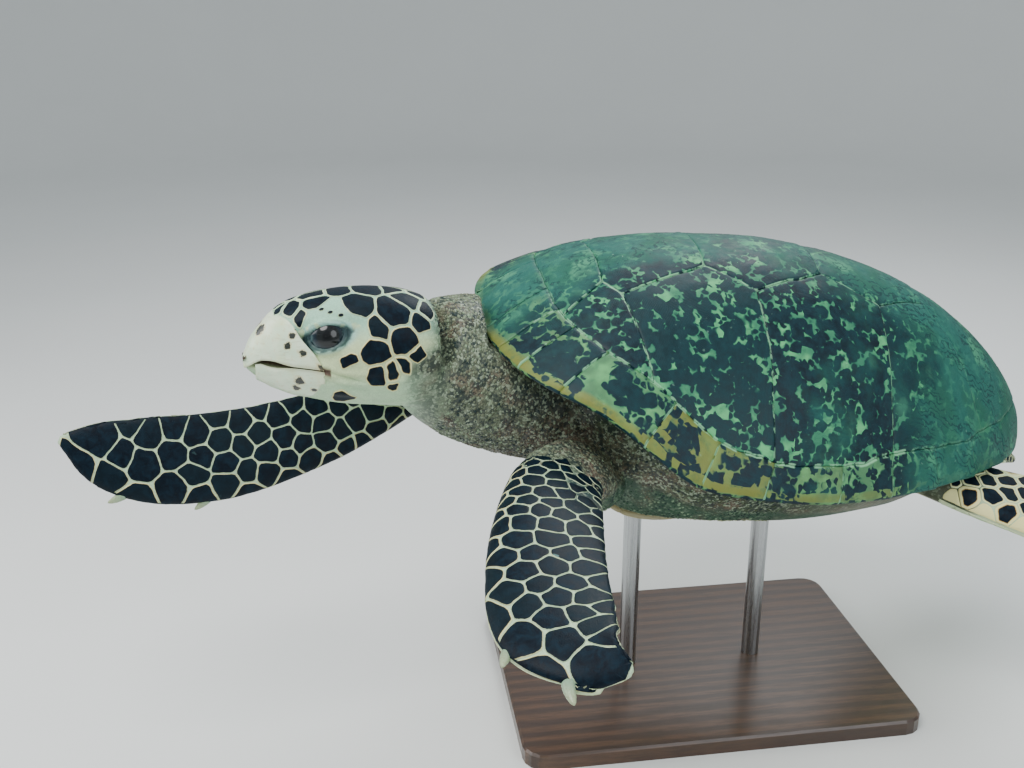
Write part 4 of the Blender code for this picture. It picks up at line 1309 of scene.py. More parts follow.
def inner_scute(name, loop, seed):
    """A plate of the shell inside the rim."""
    loop = wavy(loop)
    loop = loop - loop_normals(loop) * SEAM_INSET
    store = {}

    def top(plan):
        lift, store["far"] = scute_lift(plan, loop, seed)
        return posed(on_shell(plan, lift))

    points, faces, plan = closed_plate(loop, top, lambda low: posed(on_shell(low, -PLATE)))
    obj = piece(name, points, faces)
    far = np.concatenate([store["far"], np.zeros(len(plan) - len(store["far"]))])
    shell_facts(obj, plan, far, seed, 0.1, 0.0)
    bake_map(obj, 0.5 + plan / (1.04 * SHELL_LENGTH))
    return obj


# The rim's plates, from the nuchal at the front to the rear: how golden the horn is, how clear of dark
# blots, and how far the rear corner stands out as a point.
RIM_STATIONS, RIM_ACROSS = 34, 16
RIM_GOLD = (0.2, 0.3, 0.4, 0.4, 0.3, 0.9, 0.8, 0.45, 0.3, 0.2, 0.2, 0.2, 0.2)
RIM_CLEAR = (0.0, 0.0, 0.0, 0.0, 0.0, 0.62, 0.45, 0.2, 0.1, 0.1, 0.1, 0.1, 0.1)
RIM_POINT = (0, 0, 0, 0, 0, 0, 0.15, 0.3, 0.55, 0.8, 0.9, 0.8, 0.4)
POINT_REACH = 0.0096
# The rim's edge as (share of the way out, drop), and how far its underside slopes on down inward.
RIM_FOOT, RIM_SLANT = 0.985, 0.006
RIM_EDGE = ((1.0, 0.0015), (1.002, 0.0040), (0.997, 0.0068), (RIM_FOOT, RIM_THICK))


def rim_top(t, hand, end, lap):
    """The top of one section of the rim: plan, share of the way across, distance to a seam, and lift."""
    seam = float(seam_share(t))
    shares = np.linspace(seam, 0.994, RIM_ACROSS)
    even = outline(np.full(RIM_ACROSS, t), shares, hand)
    fade = smooth((shares - seam) / 0.05)[:, None]
    xy = wavy(even) * (1 - fade) + even * fade
    across = np.linalg.norm(xy - xy[0], axis=1)
    far = np.minimum(across, end)
    lift = 0.0010 * np.sin(math.pi * across / across[-1]) - seam_groove(far)
    lift += 0.0005 * octaves(flat3(xy), 0.03, 2, 37) + 0.0014 * np.exp(-lap / 0.008)
    return xy, across / across[-1], far, lift


def rim_under(t, hand, end, point):
    """The edge and the underside of one section of the rim."""
    rim, seam, sink = float(rim_height(t)), float(seam_share(t)), float(seam_groove(end))
    under = [(*outline(t, share + point - sink * 2, hand), rim - drop) for share, drop in RIM_EDGE]
    for k in (0.25, 0.5, 0.75, 1.0):
        inward = RIM_FOOT + (seam - RIM_FOOT) * k
        under.append((*outline(t, inward, hand), rim - RIM_THICK - RIM_SLANT * k + sink))
    return np.array(under)


def rim_marks(number, out, run):
    """How golden and how clear of blots a rim plate is, at shares of the way out and of its length."""
    lip = smooth((out - 0.86) / 0.1) * (0.5 + 0.5 * smooth((8.5 - number) / 3))
    gold = RIM_GOLD[number] + (0.95 - RIM_GOLD[number]) * lip
    clear = RIM_CLEAR[number] + 0.9 * lip
    # The fourth plate starts clear, and the fifth has one dark blot in its middle.
    if number == 4:
        clear += 1.2 * smooth((0.36 - run) / 0.2) * smooth((0.8 - out) / 0.3)
    if number == 5:
        clear -= 1.3 * np.exp(-(((run - 0.5) / 0.22) ** 2) - ((out - 0.45) / 0.24) ** 2)
    return gold, clear


def rim_scute(name, turns, side, number):
    """A plate of the rim: a rounded wedge lofted along the edge, closed at both ends."""
    rings, edges, plans, outs = [], [], [], []
    turns = np.asarray(turns)
    shares = (1 - np.cos(np.pi * np.abs(turns))) / 2
    sides = np.where(turns < 0, -side, side)
    arc = outline(shares, 1.0, sides)
    arc = np.concatenate([[0], np.cumsum(np.linalg.norm(np.diff(arc, axis=0), axis=1))])
    for t, hand, run in zip(shares, sides, arc):
        end = min(run, arc[-1] - run)
        point = POINT_REACH * RIM_POINT[number] * smooth((run / arc[-1] - 0.35) / 0.65) ** 2
        xy, across, far, lift = rim_top(t, hand, end, arc[-1] - run)
        top = on_shell(xy, lift)
        outward = np.array((*outline(t, 1.0, hand), 0.0)) * point
        top[-4:] += outward * np.array((0.1, 0.3, 0.6, 1.0))[:, None]
        under = rim_under(t, hand, end, point)
        rings.append(posed(np.vstack([top, under, on_shell(xy[:1], -PLATE)])))
        edges.append(np.concatenate([far, np.full(len(under), min(end, 0.02)), [0]]))
        outs.append(np.concatenate([across, np.ones(len(under)), [0]]))
        plans.append(np.vstack([xy, under[:, :2] * 1.02, xy[:1]]))
    edges[0][:] = 0
    edges[-1][:] = 0
    around = len(rings[0])
    obj = piece(name, tube_points(rings), tube_faces(len(rings), around))
    plan = np.vstack([*plans, plans[0].mean(0), plans[-1].mean(0)])
    far = np.concatenate([*edges, [0, 0]])
    under = np.arange(len(plan)) % around >= RIM_ACROSS + 1
    out = np.concatenate([*outs, [0.5, 0.5]])
    run = np.concatenate([np.repeat(arc / arc[-1], around), [0, 1]])
    gold, clear = rim_marks(number, out, run)
    gold, clear = np.where(under, 0.5, gold), np.where(under, 0.1, clear)
    shell_facts(obj, plan, far, 40 + number, gold, clear)
    chart = 0.5 + plan / (2.2 * SHELL_LENGTH)
    chart[under] += (0.25, 0.25)
    bake_map(obj, np.clip(chart, 0, 1))
    return obj


PLASTRON_SEAMS = (-0.185, -0.125, -0.045, 0.045, 0.125)
PLASTRON_BOTTOM = PLASTRON + 0.0003


def plastron_piece():
    """Twelve belly plates in one piece, with sunk seams between them."""
    t = (1 - np.cos(np.linspace(0, math.pi, 90))) / 2
    rim = outline(t, PLASTRON_SHARE)
    rim = rim[np.abs(rim[:, 1]) < SHELL_LENGTH / 2]
    points, faces, plans, edges = [], [], [], []
    ends = (rim[0, 1], *PLASTRON_SEAMS, rim[-1, 1])
    count = 0
    for low, high in zip(ends, ends[1:]):
        for side in (1, -1):
            ys = np.arange(low, high, 0.004)
            ys = np.append(ys, high)
            width = np.interp(ys, rim[:, 1], rim[:, 0])
            outer = np.column_stack([side * np.maximum(width, 0.001), ys])
            inner = np.column_stack([0 * ys, ys])[::-1]
            cross_high = straight(outer[-1], inner[0])
            cross_low = straight(inner[-1], outer[0])
            loop = wavy(np.vstack([outer[:-1], cross_high, inner[:-1], cross_low]))
            loop = loop - loop_normals(loop) * SEAM_INSET
            far_store = {}

            def top(plan):
                far, _ = edge_distance(plan, loop)
                far_store["far"] = far
                lift = 0.0008 * smooth(far / 0.03) - seam_groove(far, BELLY_SEAM_WIDTH)
                lift += 0.0004 * octaves(flat3(plan), 0.03, 2, 51)
                return posed(np.column_stack([plan, belly_plan(plan) - PLASTRON_BOTTOM - lift]))

            def bottom(plan):
                return posed(np.column_stack([plan, belly_plan(plan) - 0.0003]))

            own, own_faces, plan = closed_plate(loop, top, bottom, BELLY_STEP)
            faces += [tuple(int(i) + count for i in face) for face in own_faces]
            count += len(own)
            points.append(own)
            plans.append(plan)
            far = far_store["far"]
            edges.append(np.concatenate([far, np.zeros(len(plan) - len(far))]))
    obj = piece("plastron_plates", np.vstack(points), faces)
    attribute(obj, "edge", np.concatenate(edges))
    bake_map(obj, 0.5 + np.vstack(plans) / SHELL_LENGTH)
    return obj


def belly_plan(xy):
    """The height of the belly's underside over a point of the plan."""
    share, t = shell_share(xy)
    return belly_height(t, share, np.where(xy[:, 0] < 0, -1, 1))


def build_shell():
    """Every piece of the shell, under the name of the node it stands for."""
    made = {}
    for number in range(1, 6):
        name = f"vertebral_{number}"
        made[name] = inner_scute(f"scute_{name}", vertebral_loop(number), number)
    for number in range(1, 5):
        for word, side in (("left", 1), ("right", -1)):
            name, seed = f"costal_{word}_{number}", 10 + 2 * number + (side > 0)
            made[name] = inner_scute(f"scute_{name}", costal_loop(number, side), seed)
    nuchal = rim_turn(NUCHAL_STEPS)
    across = np.linspace(-nuchal, nuchal, 44)
    made["nuchal"] = rim_scute("scute_nuchal", across, 1, 0)
    for number in range(1, 13):
        start = NUCHAL_STEPS + (number - 1) * STEPS_PER_RIM_PLATE
        turns = np.linspace(rim_turn(start), rim_turn(start + STEPS_PER_RIM_PLATE), RIM_STATIONS)
        for word, side in (("left", 1), ("right", -1)):
            name = f"marginal_{word}_{number}"
            made[name] = rim_scute(f"scute_{name}", turns, side, number)
    made["plastron"] = plastron_piece()
    return made


# ---- beak, eyes and claws ----
BEAK_THICK, BEAK_ROWS, BEAK_COLUMNS, RIDGE = 0.0024, 34, 72, 0.00022
EYE_RINGS, EYE_AROUND, EYE_GAP, EYE_BULGE = 48, 64, 0.0006, 0.0011
CLAW_RINGS, CLAW_AROUND, CLAW_ROOT, CLAW_BEND, CLAW_FLAT = 18, 20, 0.009, 0.007, 0.72
CLAW_REACH, CLAW_WIDTH = CLAW_LENGTH * 1.08, CLAW_RADIUS * 0.92
# The dark marks of the horn: (share of the head's length, degrees round it, reach).
BEAK_MARKS = (
    (0.22, 15, 0.012), (0.245, 26, 0.011), (0.29, 5, 0.012), (0.375, -9, 0.012), (0.27, 33, 0.006),
    (0.10, 70, 0.020), (0.265, -27, 0.016), (0.25, -41, 0.013), (0.335, -40, 0.009),
)


def sheet(name, outer, inner):
    """A closed wall between two grids of points."""
    rows, columns = outer.shape[:2]
    index = np.arange(rows * columns).reshape(rows, columns)
    back = index + rows * columns
    faces = []
    for grid in (index, back):
        corners = (grid[:-1, :-1], grid[:-1, 1:], grid[1:, 1:], grid[1:, :-1])
        faces += list(zip(*(c.ravel() for c in corners)))
    for border in (np.s_[0], np.s_[-1], np.s_[:, 0], np.s_[:, -1]):
        line, twin = index[border], back[border]
        faces += list(zip(line[:-1], line[1:], twin[1:], twin[:-1]))
    return piece(name, np.vstack([outer.reshape(-1, 3), inner.reshape(-1, 3)]), faces)


def mouth_angle(u):
    """Where the mouth line lies round the head, as an angle below its left side."""
    _, _, low, widest = head_section(u)
    drop = np.clip((widest - curve(MOUTH_LINE, u)) / (widest - low), 0, 1)
    return -np.arcsin(drop ** (1 / 0.9))


def beak(name, upper):
    """One half of the horny beak: a thin wall over the jaw, from the tip back to the edge of the horn."""
    across = (1 - np.cos(np.linspace(0, math.pi, BEAK_COLUMNS))) / 2
    along_rows = np.linspace(0, 1, BEAK_ROWS) ** 1.25
    outer = np.empty((BEAK_ROWS, BEAK_COLUMNS, 3))
    places = np.empty((BEAK_ROWS, BEAK_COLUMNS, 2))
    start = 0.0 if upper else 0.055
    for row, share in enumerate(along_rows):
        rough = start + share * 0.3
        u = np.full(BEAK_COLUMNS, rough)
        for _ in range(3):
            lip = mouth_angle(u)
            angle = lip + (math.pi - 2 * lip) * across if upper else lip - (math.pi + 2 * lip) * across
            wrapped = np.arctan2(np.sin(angle), np.cos(angle))
            u = start + share * (beak_end(wrapped) - start)
        swell = 0.0003 + 0.0005 * smooth((1 - share) / 0.25) + 0.0008 * smooth((0.10 - u) / 0.10)
        points = head_point(u, angle, swell)
        lip_near = np.exp(-np.minimum(across, 1 - across) / 0.05)
        gape = 0.0008 + 0.0032 * np.exp(-(((u - 0.14) / 0.06) ** 2))
        hook = 0.0040 * smooth((0.075 - u) / 0.075) if upper else 0.0
        points[:, 2] += lip_near * ((gape if upper else -gape) - hook)
        outer[row] = points
        places[row] = np.column_stack([u, np.degrees(angle)])
    outer[0] = outer[0].mean(0)
    middle = np.stack([0 * outer[..., 0], outer[..., 1] + 0.004, np.full(outer.shape[:2], MOUTH_Z)], -1)
    thick = BEAK_THICK * (1 - 0.55 * along_rows[:, None, None])
    half = 0.35 * np.linalg.norm(middle - outer, axis=-1)[..., None]
    inner = outer + unit(middle - outer) * np.minimum(thick, half)
    wander = 3 * noise(outer.reshape(-1, 3), 0.02, 71).reshape(outer.shape[:2])
    ridge = RIDGE * np.sin(outer[..., 2] / 0.0024 + wander)
    outer = outer + unit(outer - middle) * (ridge * smooth(along_rows / 0.2)[:, None])[..., None]
    walls = [head_placed(wall.reshape(-1, 3)).reshape(outer.shape) for wall in (outer, inner)]
    obj = sheet(name, *walls)
    u, degrees = places.reshape(-1, 2).T
    degrees = np.where(degrees > 90, 180 - degrees, degrees)
    degrees = np.where(degrees < -90, -180 - degrees, degrees)
    mark = np.zeros(len(u))
    spot = outer.reshape(-1, 3)
    for share, angle, reach in BEAK_MARKS:
        here = head_point(share, math.radians(angle))
        d = np.column_stack([np.abs(spot[:, 0]), spot[:, 1:]]) - here
        mark = np.maximum(mark, 1 - np.linalg.norm(d / (reach * 0.55), axis=1))
    lip = np.minimum(across, 1 - across)[None, :] * np.ones((BEAK_ROWS, 1))
    attribute(obj, "mark", np.tile(np.maximum(mark, 0), 2))
    attribute(obj, "lip", np.tile(lip.ravel(), 2))
    chart = np.column_stack([places[..., 0].ravel() / 0.45, (places[..., 1].ravel() + 180) / 400])
    bake_map(obj, np.clip(np.vstack([chart * (0.48, 1), chart * (0.48, 1) + (0.5, 0)]), 0, 1))
    return obj


def eye(name, side):
    """The eyeball, with the clear bulge over its iris."""
    centre, out, back, up = eye_frame(side)
    around, tilts = circle(EYE_AROUND), np.linspace(0.02, math.pi - 0.02, EYE_RINGS)
    rings = []
    for tilt in tilts:
        radius = EYE_RADIUS - EYE_GAP + EYE_BULGE * math.exp(-((tilt / 0.55) ** 4))
        spin = back * around[:, :1] + up * around[:, 1:]
        rings.append(head_placed(centre + radius * (out * math.cos(tilt) + spin * math.sin(tilt))))
    obj = piece(name, tube_points(rings), tube_faces(EYE_RINGS, EYE_AROUND))
    tilt = np.append(np.repeat(tilts, EYE_AROUND), (0, math.pi))
    spoke = np.vstack([np.tile(around, (EYE_RINGS, 1)), [(1, 0), (1, 0)]])
    attribute(obj, "tilt", tilt)
    attribute(obj, "spoke", np.column_stack([spoke, tilt]))
    bake_map(obj, 0.5 + spoke * (tilt / math.pi * 0.49)[:, None])
    return obj


def claw(name, limb, at):
    """A curved, flattened horn claw on a fin's leading edge."""
    path, leads, chords, _, to_world, _ = limb
    centre, ahead, lead, normal = limb_frame(path, leads, at)
    out = unit(lead * 0.75 + ahead * 0.65)
    root = centre + lead * (float(curve(chords, at)) - CLAW_ROOT)
    side = unit(np.cross(out, normal))
    around, steps = circle(CLAW_AROUND), np.linspace(0, 1, CLAW_RINGS)
    rings = []
    for share in steps:
        middle = root + out * CLAW_REACH * share + ahead * CLAW_BEND * share**2
        size = CLAW_WIDTH * (1 - share**2.2) ** 0.6 + 0.0003
        size *= 1 + 0.03 * math.sin(share * 38)
        ring = side * around[:, :1] * size + normal * around[:, 1:] * size * CLAW_FLAT
        rings.append(to_world(middle + ring))
    obj = piece(name, tube_points(rings), tube_faces(CLAW_RINGS, CLAW_AROUND))
    shares = np.append(np.repeat(steps, CLAW_AROUND), (0, 1))
    turn = np.append(np.tile(np.arange(CLAW_AROUND) / CLAW_AROUND, CLAW_RINGS), (0.5, 0.5))
    attribute(obj, "share", shares)
    bake_map(obj, np.column_stack([turn, shares]) * 0.95)
    return obj


# ---- the skin's colours, painted shade included, kept on its points ----
def tint(red, green, blue):
    """A display colour of 0 to 255 as scene-linear."""
    c = np.array((red, green, blue)) / 255
    return np.where(c <= 0.04045, c / 12.92, ((c + 0.055) / 1.055) ** 2.4)


NECK_TINT, NECK_DARK, SHOULDER_TINT = tint(106, 114, 92), tint(40, 56, 50), tint(84, 74, 60)
FACE_TINT, CROWN_TINT, THROAT_TINT = tint(206, 224, 172), tint(160, 210, 182), tint(134, 156, 130)
FIN_TINT, FIN_UNDER_TINT, BELLY_TINT = tint(186, 214, 176), tint(214, 222, 182), tint(216, 212, 168)
SOFT_TINT, MOUTH_TINT, LID_TINT = tint(36, 66, 66), tint(96, 72, 58), tint(158, 206, 194)
FLANK_SHADED_TINT, UNDER_RIM_SHADE_TINT, LOW_FLANK_SHADE_TINT = tint(104, 104, 82), tint(58, 74, 48), tint(46, 78, 58)
EYE_SHADE_AND_DARK_SKIN_TINT = tint(26, 56, 60)


def blend_to(colours, goal, weight):
    """The colours, mixed with another by a weight for each point."""
    return colours + (np.asarray(goal) - colours) * np.clip(weight, 0, 1)[:, None]


def colour_neck(points, normals, patchy):
    """Brown toward the shoulders, with a dark band over the nape."""
    colours = np.tile(NECK_TINT, (len(points), 1))
    loose, at = neck_weight(points)
    colours = blend_to(colours, SHOULDER_TINT, smooth((0.62 - at) / 0.35) * (0.5 + 0.8 * patchy))
    shade = smooth((0.55 + 0.12 * patchy - at) / 0.15) * smooth((at - 0.30) / 0.12)
    shade *= smooth((normals[:, 2] + 0.3) / 0.6)
    return blend_to(colours, NECK_DARK, 0.55 * shade * (loose > 0))


def colour_trunk(colours, normals, body, patchy):
    """Flanks darkened by painted shade, most up under the shell's rim and low down, the pale belly, and how
    mottled the skin is there.
    """
    down = -(normals @ POSE)[:, 2]
    side = smooth((body[:, 1] + 0.29 + 0.05 * patchy) / 0.07) * (body[:, 2] < 0.05)
    # Painted shade: the flank's colour is darker than its own, as if in shade.
    colours = blend_to(colours, FLANK_SHADED_TINT * (0.7 + 0.5 * patchy)[:, None], side)
    share, t = shell_share(body[:, :2])
    # Painted shade up under the shell's rim.
    under_rim_shade = smooth((body[:, 2] - rim_height(t) + 0.075) / 0.03) * (share < 1.05)
    colours = blend_to(colours, UNDER_RIM_SHADE_TINT, 0.9 * under_rim_shade * side)
    # Painted shade along the low flank, toward the belly.
    low = side * smooth((-0.045 - body[:, 2] - 0.01 * patchy) / 0.012)
    colours = blend_to(colours, LOW_FLANK_SHADE_TINT, low)
    belly = side * smooth((down - 0.6 - 0.2 * patchy) / 0.25) * smooth((0.02 - body[:, 2]) / 0.03)
    colours = blend_to(colours, BELLY_TINT, belly)
    mottle = (1 - 0.7 * side * smooth((body[:, 1] + 0.05) / 0.12)) * (1 - 0.6 * belly) * (1 - 0.7 * low)
    return colours, mottle


def colour_limbs(colours, mottle, points, normals, body):
    """Pale green under the fins' plates, paler below, and dark soft skin at the front fins' roots."""
    for path, leads, chords, _, to_world, sign in LIMBS.values():
        local = points - TURTLE_AT if to_world is placed else body
        front = to_world is placed
        far, s = path_distance(local, path)
        on_fin = smooth((s - (0.17 if front else 0.2)) / 0.07) * (far < 0.09)
        frames = [limb_frame(path, leads, step) for step in np.linspace(0, 1, 21)]
        row = np.clip((s * 20).round().astype(int), 0, 20)
        lead = np.array([f[2] for f in frames])[row]
        up = np.array([f[3] for f in frames])[row] * sign
        facing = (normals if front else normals @ POSE) * up
        v = ((local - along(path, s)) * lead).sum(1) / curve(chords, s)
        under = smooth(0.5 - facing.sum(1) * 2)
        colours = blend_to(colours, FIN_TINT, on_fin)
        colours = blend_to(colours, FIN_UNDER_TINT, on_fin * under)
        soft = smooth((0.36 - s) / 0.05) * smooth((-0.15 - v) / 0.2) * (1 - under) * on_fin * front
        colours = blend_to(colours, SOFT_TINT, soft)
        mottle = mottle * (1 - 0.85 * on_fin) + 0.5 * soft
    return colours, mottle


def colour_head(colours, mottle, head, patchy):
    """The crown, the pale face and the throat."""
    u, angle, near_head = head
    height = np.sin(angle)
    back = 0.93 - 0.13 * smooth((0.15 - height) / 0.5) - 0.05 * patchy
    skull = near_head * (1 - smooth((u - back) / 0.12))
    throat = near_head * smooth((-0.35 - height) / 0.3) * (1 - smooth((u - 0.85) / 0.25))
    colours = blend_to(colours, THROAT_TINT, np.maximum(throat, 0))
    colours = blend_to(colours, CROWN_TINT, skull)
    colours = blend_to(colours, FACE_TINT, skull * smooth((0.62 - height) / 0.5) * (1 - 0.5 * throat))
    return colours, mottle * (1 - 0.9 * np.maximum(skull, 0.6 * throat))


def colour_eyes(colours, points, q):
    """Pale lids, with dark skin and painted shade round the opening, heaviest below it and in its corners.
    """
    speckle = 0.5 + 0.5 * octaves(points, 0.006, 2, 82)
    for hand in (1, -1):
        d, out, e, a, b = eye_opening(q, hand)
        ring = (np.abs(np.linalg.norm(d, axis=1) - EYE_RADIUS) < 0.02) & (out > 0)
        colours = blend_to(colours, LID_TINT, ring * (1 - smooth((e - 1.3) / 0.4)) * 0.85)
        above = smooth((b + 0.002) / 0.006)
        # Dark skin and painted shade round the opening, heavier below it.
        eye_shade_and_dark_skin = ring * (1 - smooth((e - 1.16 - 0.26 * speckle) / 0.10)) * (0.85 - 0.55 * above)
        colours = blend_to(colours, EYE_SHADE_AND_DARK_SKIN_TINT, eye_shade_and_dark_skin)
        flecks = above * smooth((speckle - 0.5) / 0.2) * (e < 1.7)
        colours = blend_to(colours, FACE_TINT, ring * flecks * 0.7)
        # Dark skin and painted shade in the opening's corners.
        ends = smooth((np.abs(a) - 0.009) / 0.006) * np.exp(-((b / (EYE_HALF_HIGH * 0.75)) ** 4))
        colours = blend_to(colours, EYE_SHADE_AND_DARK_SKIN_TINT, ring * ends * (1 - smooth((e - 1.12) / 0.2)))
        # Painted shade along the lids' inner edge, where they meet the eyeball.
        colours = blend_to(colours, EYE_SHADE_AND_DARK_SKIN_TINT, ring * (1 - smooth((e - 0.97) / 0.07)))
    return colours


def colour_skin(skin):
    """Keeps each point's colour on the skin, painted shade included, and how mottled it is."""
    points, _ = read_mesh(skin.data)
    normals = read_normals(skin.data)
    body = unposed(points)
    q, u, angle = head_coordinates(points)
    near_head = (np.linalg.norm(q, axis=1) < 0.19) & (u < 1.4)
    patchy = 0.5 + 0.5 * octaves(points, 0.06, 3, 81)
    colours = colour_neck(points, normals, patchy)
    colours, mottle = colour_trunk(colours, normals, body, patchy)
    colours, mottle = colour_limbs(colours, mottle, points, normals, body)
    colours, mottle = colour_head(colours, mottle, (u, angle, near_head), patchy)
    colours = colour_eyes(colours, points, q)
    gape = near_head * (u < 0.42) * np.exp(-(((q[:, 2] - curve(MOUTH_LINE, u)) / 0.005) ** 2))
    colours = blend_to(colours, MOUTH_TINT, gape * 1.5)
    attribute(skin, "ground", colours * (0.93 + 0.14 * patchy)[:, None])
    attribute(skin, "mottle", mottle)


def skin_chart(points):
    """Where each point of the skin lies on an unwrap of its parts: limbs, head and neck, and trunk."""
    body = unposed(points)
    below = body[:, 2] < rim_height(np.clip(body[:, 1] / SHELL_LENGTH + 0.5, 0, 1)) - RIM_DEPTH
    chart = 0.02 + 0.44 * (body[:, :2] + (0.3, 0.45)) / (0.62, 0.9)
    chart[below, 0] += 0.5
    q, u, angle = head_coordinates(points)
    at_head = (np.linalg.norm(q, axis=1) < 0.19) & (u < 1.2)
    turn = (angle[at_head] / math.pi + 1) / 2
    chart[at_head] = np.column_stack([0.02 + 0.3 * turn, 0.52 + 0.2 * u[at_head]])
    for k, (path, _, _, _, to_world, _) in enumerate(LIMBS.values()):
        local = points - TURTLE_AT if to_world is placed else body
        far, s = path_distance(local, path)
        on = (far < 0.09) & (s > 0.15) & ~at_head
        ahead = unit(along(path, 1.0) - along(path, 0.0))
        away = local - along(path, s)
        lead = unit(np.cross(ahead, (0, 0.2, 1.0)))
        turn = (np.arctan2(away @ np.cross(ahead, lead), away @ lead)[on] / math.pi + 1) / 2
        chart[on] = np.column_stack([0.36 + 0.15 * k + 0.13 * turn, 0.52 + 0.45 * s[on]])
    return chart


# ---- materials ----
class Paint:
    """A short way to write a material's nodes. Values are numbers, colours or other nodes' outputs."""

    def __init__(self, name, roughness=0.5, specular=0.5, coat=0.0, coat_roughness=0.2, metallic=0.0):
        self.material = bpy.data.materials.new(name)
        self.material.use_nodes = True
        self.tree = self.material.node_tree
        self.shader = self.tree.nodes["Principled BSDF"]
        settings = {
            "Roughness": roughness, "Specular IOR Level": specular, "Coat Weight": coat,
            "Coat Roughness": coat_roughness, "Metallic": metallic,
        }
        for socket, value in settings.items():
            self.shader.inputs[socket].default_value = value
        self.place = self.node("ShaderNodeTexCoord").outputs["Object"]

    def node(self, kind, settings=(), **values):
        made = self.tree.nodes.new(kind)
        for key, value in dict(settings).items():
            setattr(made, key, value)
        for key, value in values.items():
            self.put(made.inputs[key], value)
        return made

    def put(self, socket, value):
        if isinstance(value, bpy.types.NodeSocket):
            self.tree.links.new(value, socket)
        elif socket.type == "RGBA" and len(value) == 3:
            socket.default_value = (*value, 1.0)
        else:
            socket.default_value = value

    def stored(self, name, vector=False):
        made = self.node("ShaderNodeAttribute", {"attribute_name": name})
        return made.outputs["Vector" if vector else "Fac"]

    def math(self, operation, first, second=0.0, third=0.0):
        made = self.node("ShaderNodeMath", {"operation": operation})
        for socket, value in zip(made.inputs, (first, second, third)):
            self.put(socket, value)
        return made.outputs[0]

    def scaled(self, vector, by):
        made = self.node("ShaderNodeVectorMath", {"operation": "MULTIPLY"})
        self.put(made.inputs[0], vector)
        self.put(made.inputs[1], by)
        return made.outputs[0]

    def noise(self, scale, detail=3.0, place=None, rough=0.55, bend=0.0):
        made = self.node("ShaderNodeTexNoise", Scale=scale, Detail=detail, Roughness=rough, Distortion=bend)
        self.put(made.inputs["Vector"], self.place if place is None else place)
        return made.outputs["Fac"]

    def voronoi(self, scale, feature="F1", output="Distance"):
        made = self.node("ShaderNodeTexVoronoi", {"feature": feature}, Vector=self.place, Scale=scale)
        return made.outputs[output]

    def step(self, value, low, high, out_low=0.0, out_high=1.0):
        """A smooth rise from out_low at low to out_high at high."""
        made = self.node("ShaderNodeMapRange", {"interpolation_type": "SMOOTHSTEP"})
        for socket, v in zip(made.inputs, (value, low, high, out_low, out_high)):
            self.put(socket, v)
        return made.outputs[0]

    def mix(self, share, first, second, blend="MIX"):
        made = self.node("ShaderNodeMix", {"data_type": "RGBA", "blend_type": blend, "clamp_factor": True})
        for socket, value in zip((made.inputs[0], made.inputs[6], made.inputs[7]), (share, first, second)):
            self.put(socket, value)
        return made.outputs[2]

    def bump(self, height, strength, distance):
        return self.node("ShaderNodeBump", Height=height, Strength=strength, Distance=distance).outputs[0]

    def finish(self, colour, normal=None, roughness=None):
        self.put(self.shader.inputs["Base Color"], colour)
        if roughness is not None:
            self.put(self.shader.inputs["Roughness"], roughness)
        if normal is not None:
            self.put(self.shader.inputs["Normal"], normal)
        return self.material


def rgb(red, green, blue):
    """A display colour of 0 to 255 as scene-linear numbers for a socket."""
    return tuple(float(c) for c in tint(red, green, blue))


def skin_paint():
    """The skin's kept colours, dark and rusty patches and pale flecks where mottled, and painted shade in
    creases.
    """
    p = Paint("turtle_skin", roughness=0.55, specular=0.4, coat=0.08, coat_roughness=0.35)
    ground = p.stored("ground", vector=True)
    mottle = p.stored("mottle")
    cell = p.voronoi(300.0)
    chance = p.voronoi(300.0, output="Color")
    patch = p.noise(55.0, 4.0)
    fleck = p.math("MULTIPLY", p.step(chance, 0.58, 0.80), mottle)
    dark = p.step(p.math("ADD", p.math("MULTIPLY", chance, 0.5), patch), 0.86, 0.62)
    dark = p.math("MULTIPLY", dark, mottle)
    warm = p.math("MULTIPLY", p.step(p.noise(26.0, 3.0), 0.50, 0.68), mottle)
    colour = p.mix(p.math("MULTIPLY", warm, 0.55), ground, rgb(128, 98, 84))
    colour = p.mix(p.math("MULTIPLY", dark, 0.80), colour, rgb(30, 46, 46))
    colour = p.mix(p.math("MULTIPLY", fleck, 0.62), colour, rgb(170, 186, 160))
    # Painted shade in the creases between the small scales.
    crease = p.step(p.voronoi(300.0, feature="DISTANCE_TO_EDGE"), 0.10, 0.0)
    crease = p.math("MULTIPLY", crease, p.math("MULTIPLY_ADD", mottle, 0.35, 0.12))
    colour = p.mix(crease, colour, rgb(40, 48, 42))
    fine = p.noise(900.0, 3.0)
    colour = p.mix(0.12, colour, p.mix(fine, (0.2, 0.2, 0.2), (1.0, 1.0, 1.0)), "MULTIPLY")
    height = p.math("ADD", p.math("MULTIPLY", cell, -0.5), p.math("MULTIPLY", fine, 0.25))
    rough = p.step(patch, 0.3, 0.7, 0.48, 0.66)
    return p.finish(colour, p.bump(height, 0.55, 0.0011), rough)


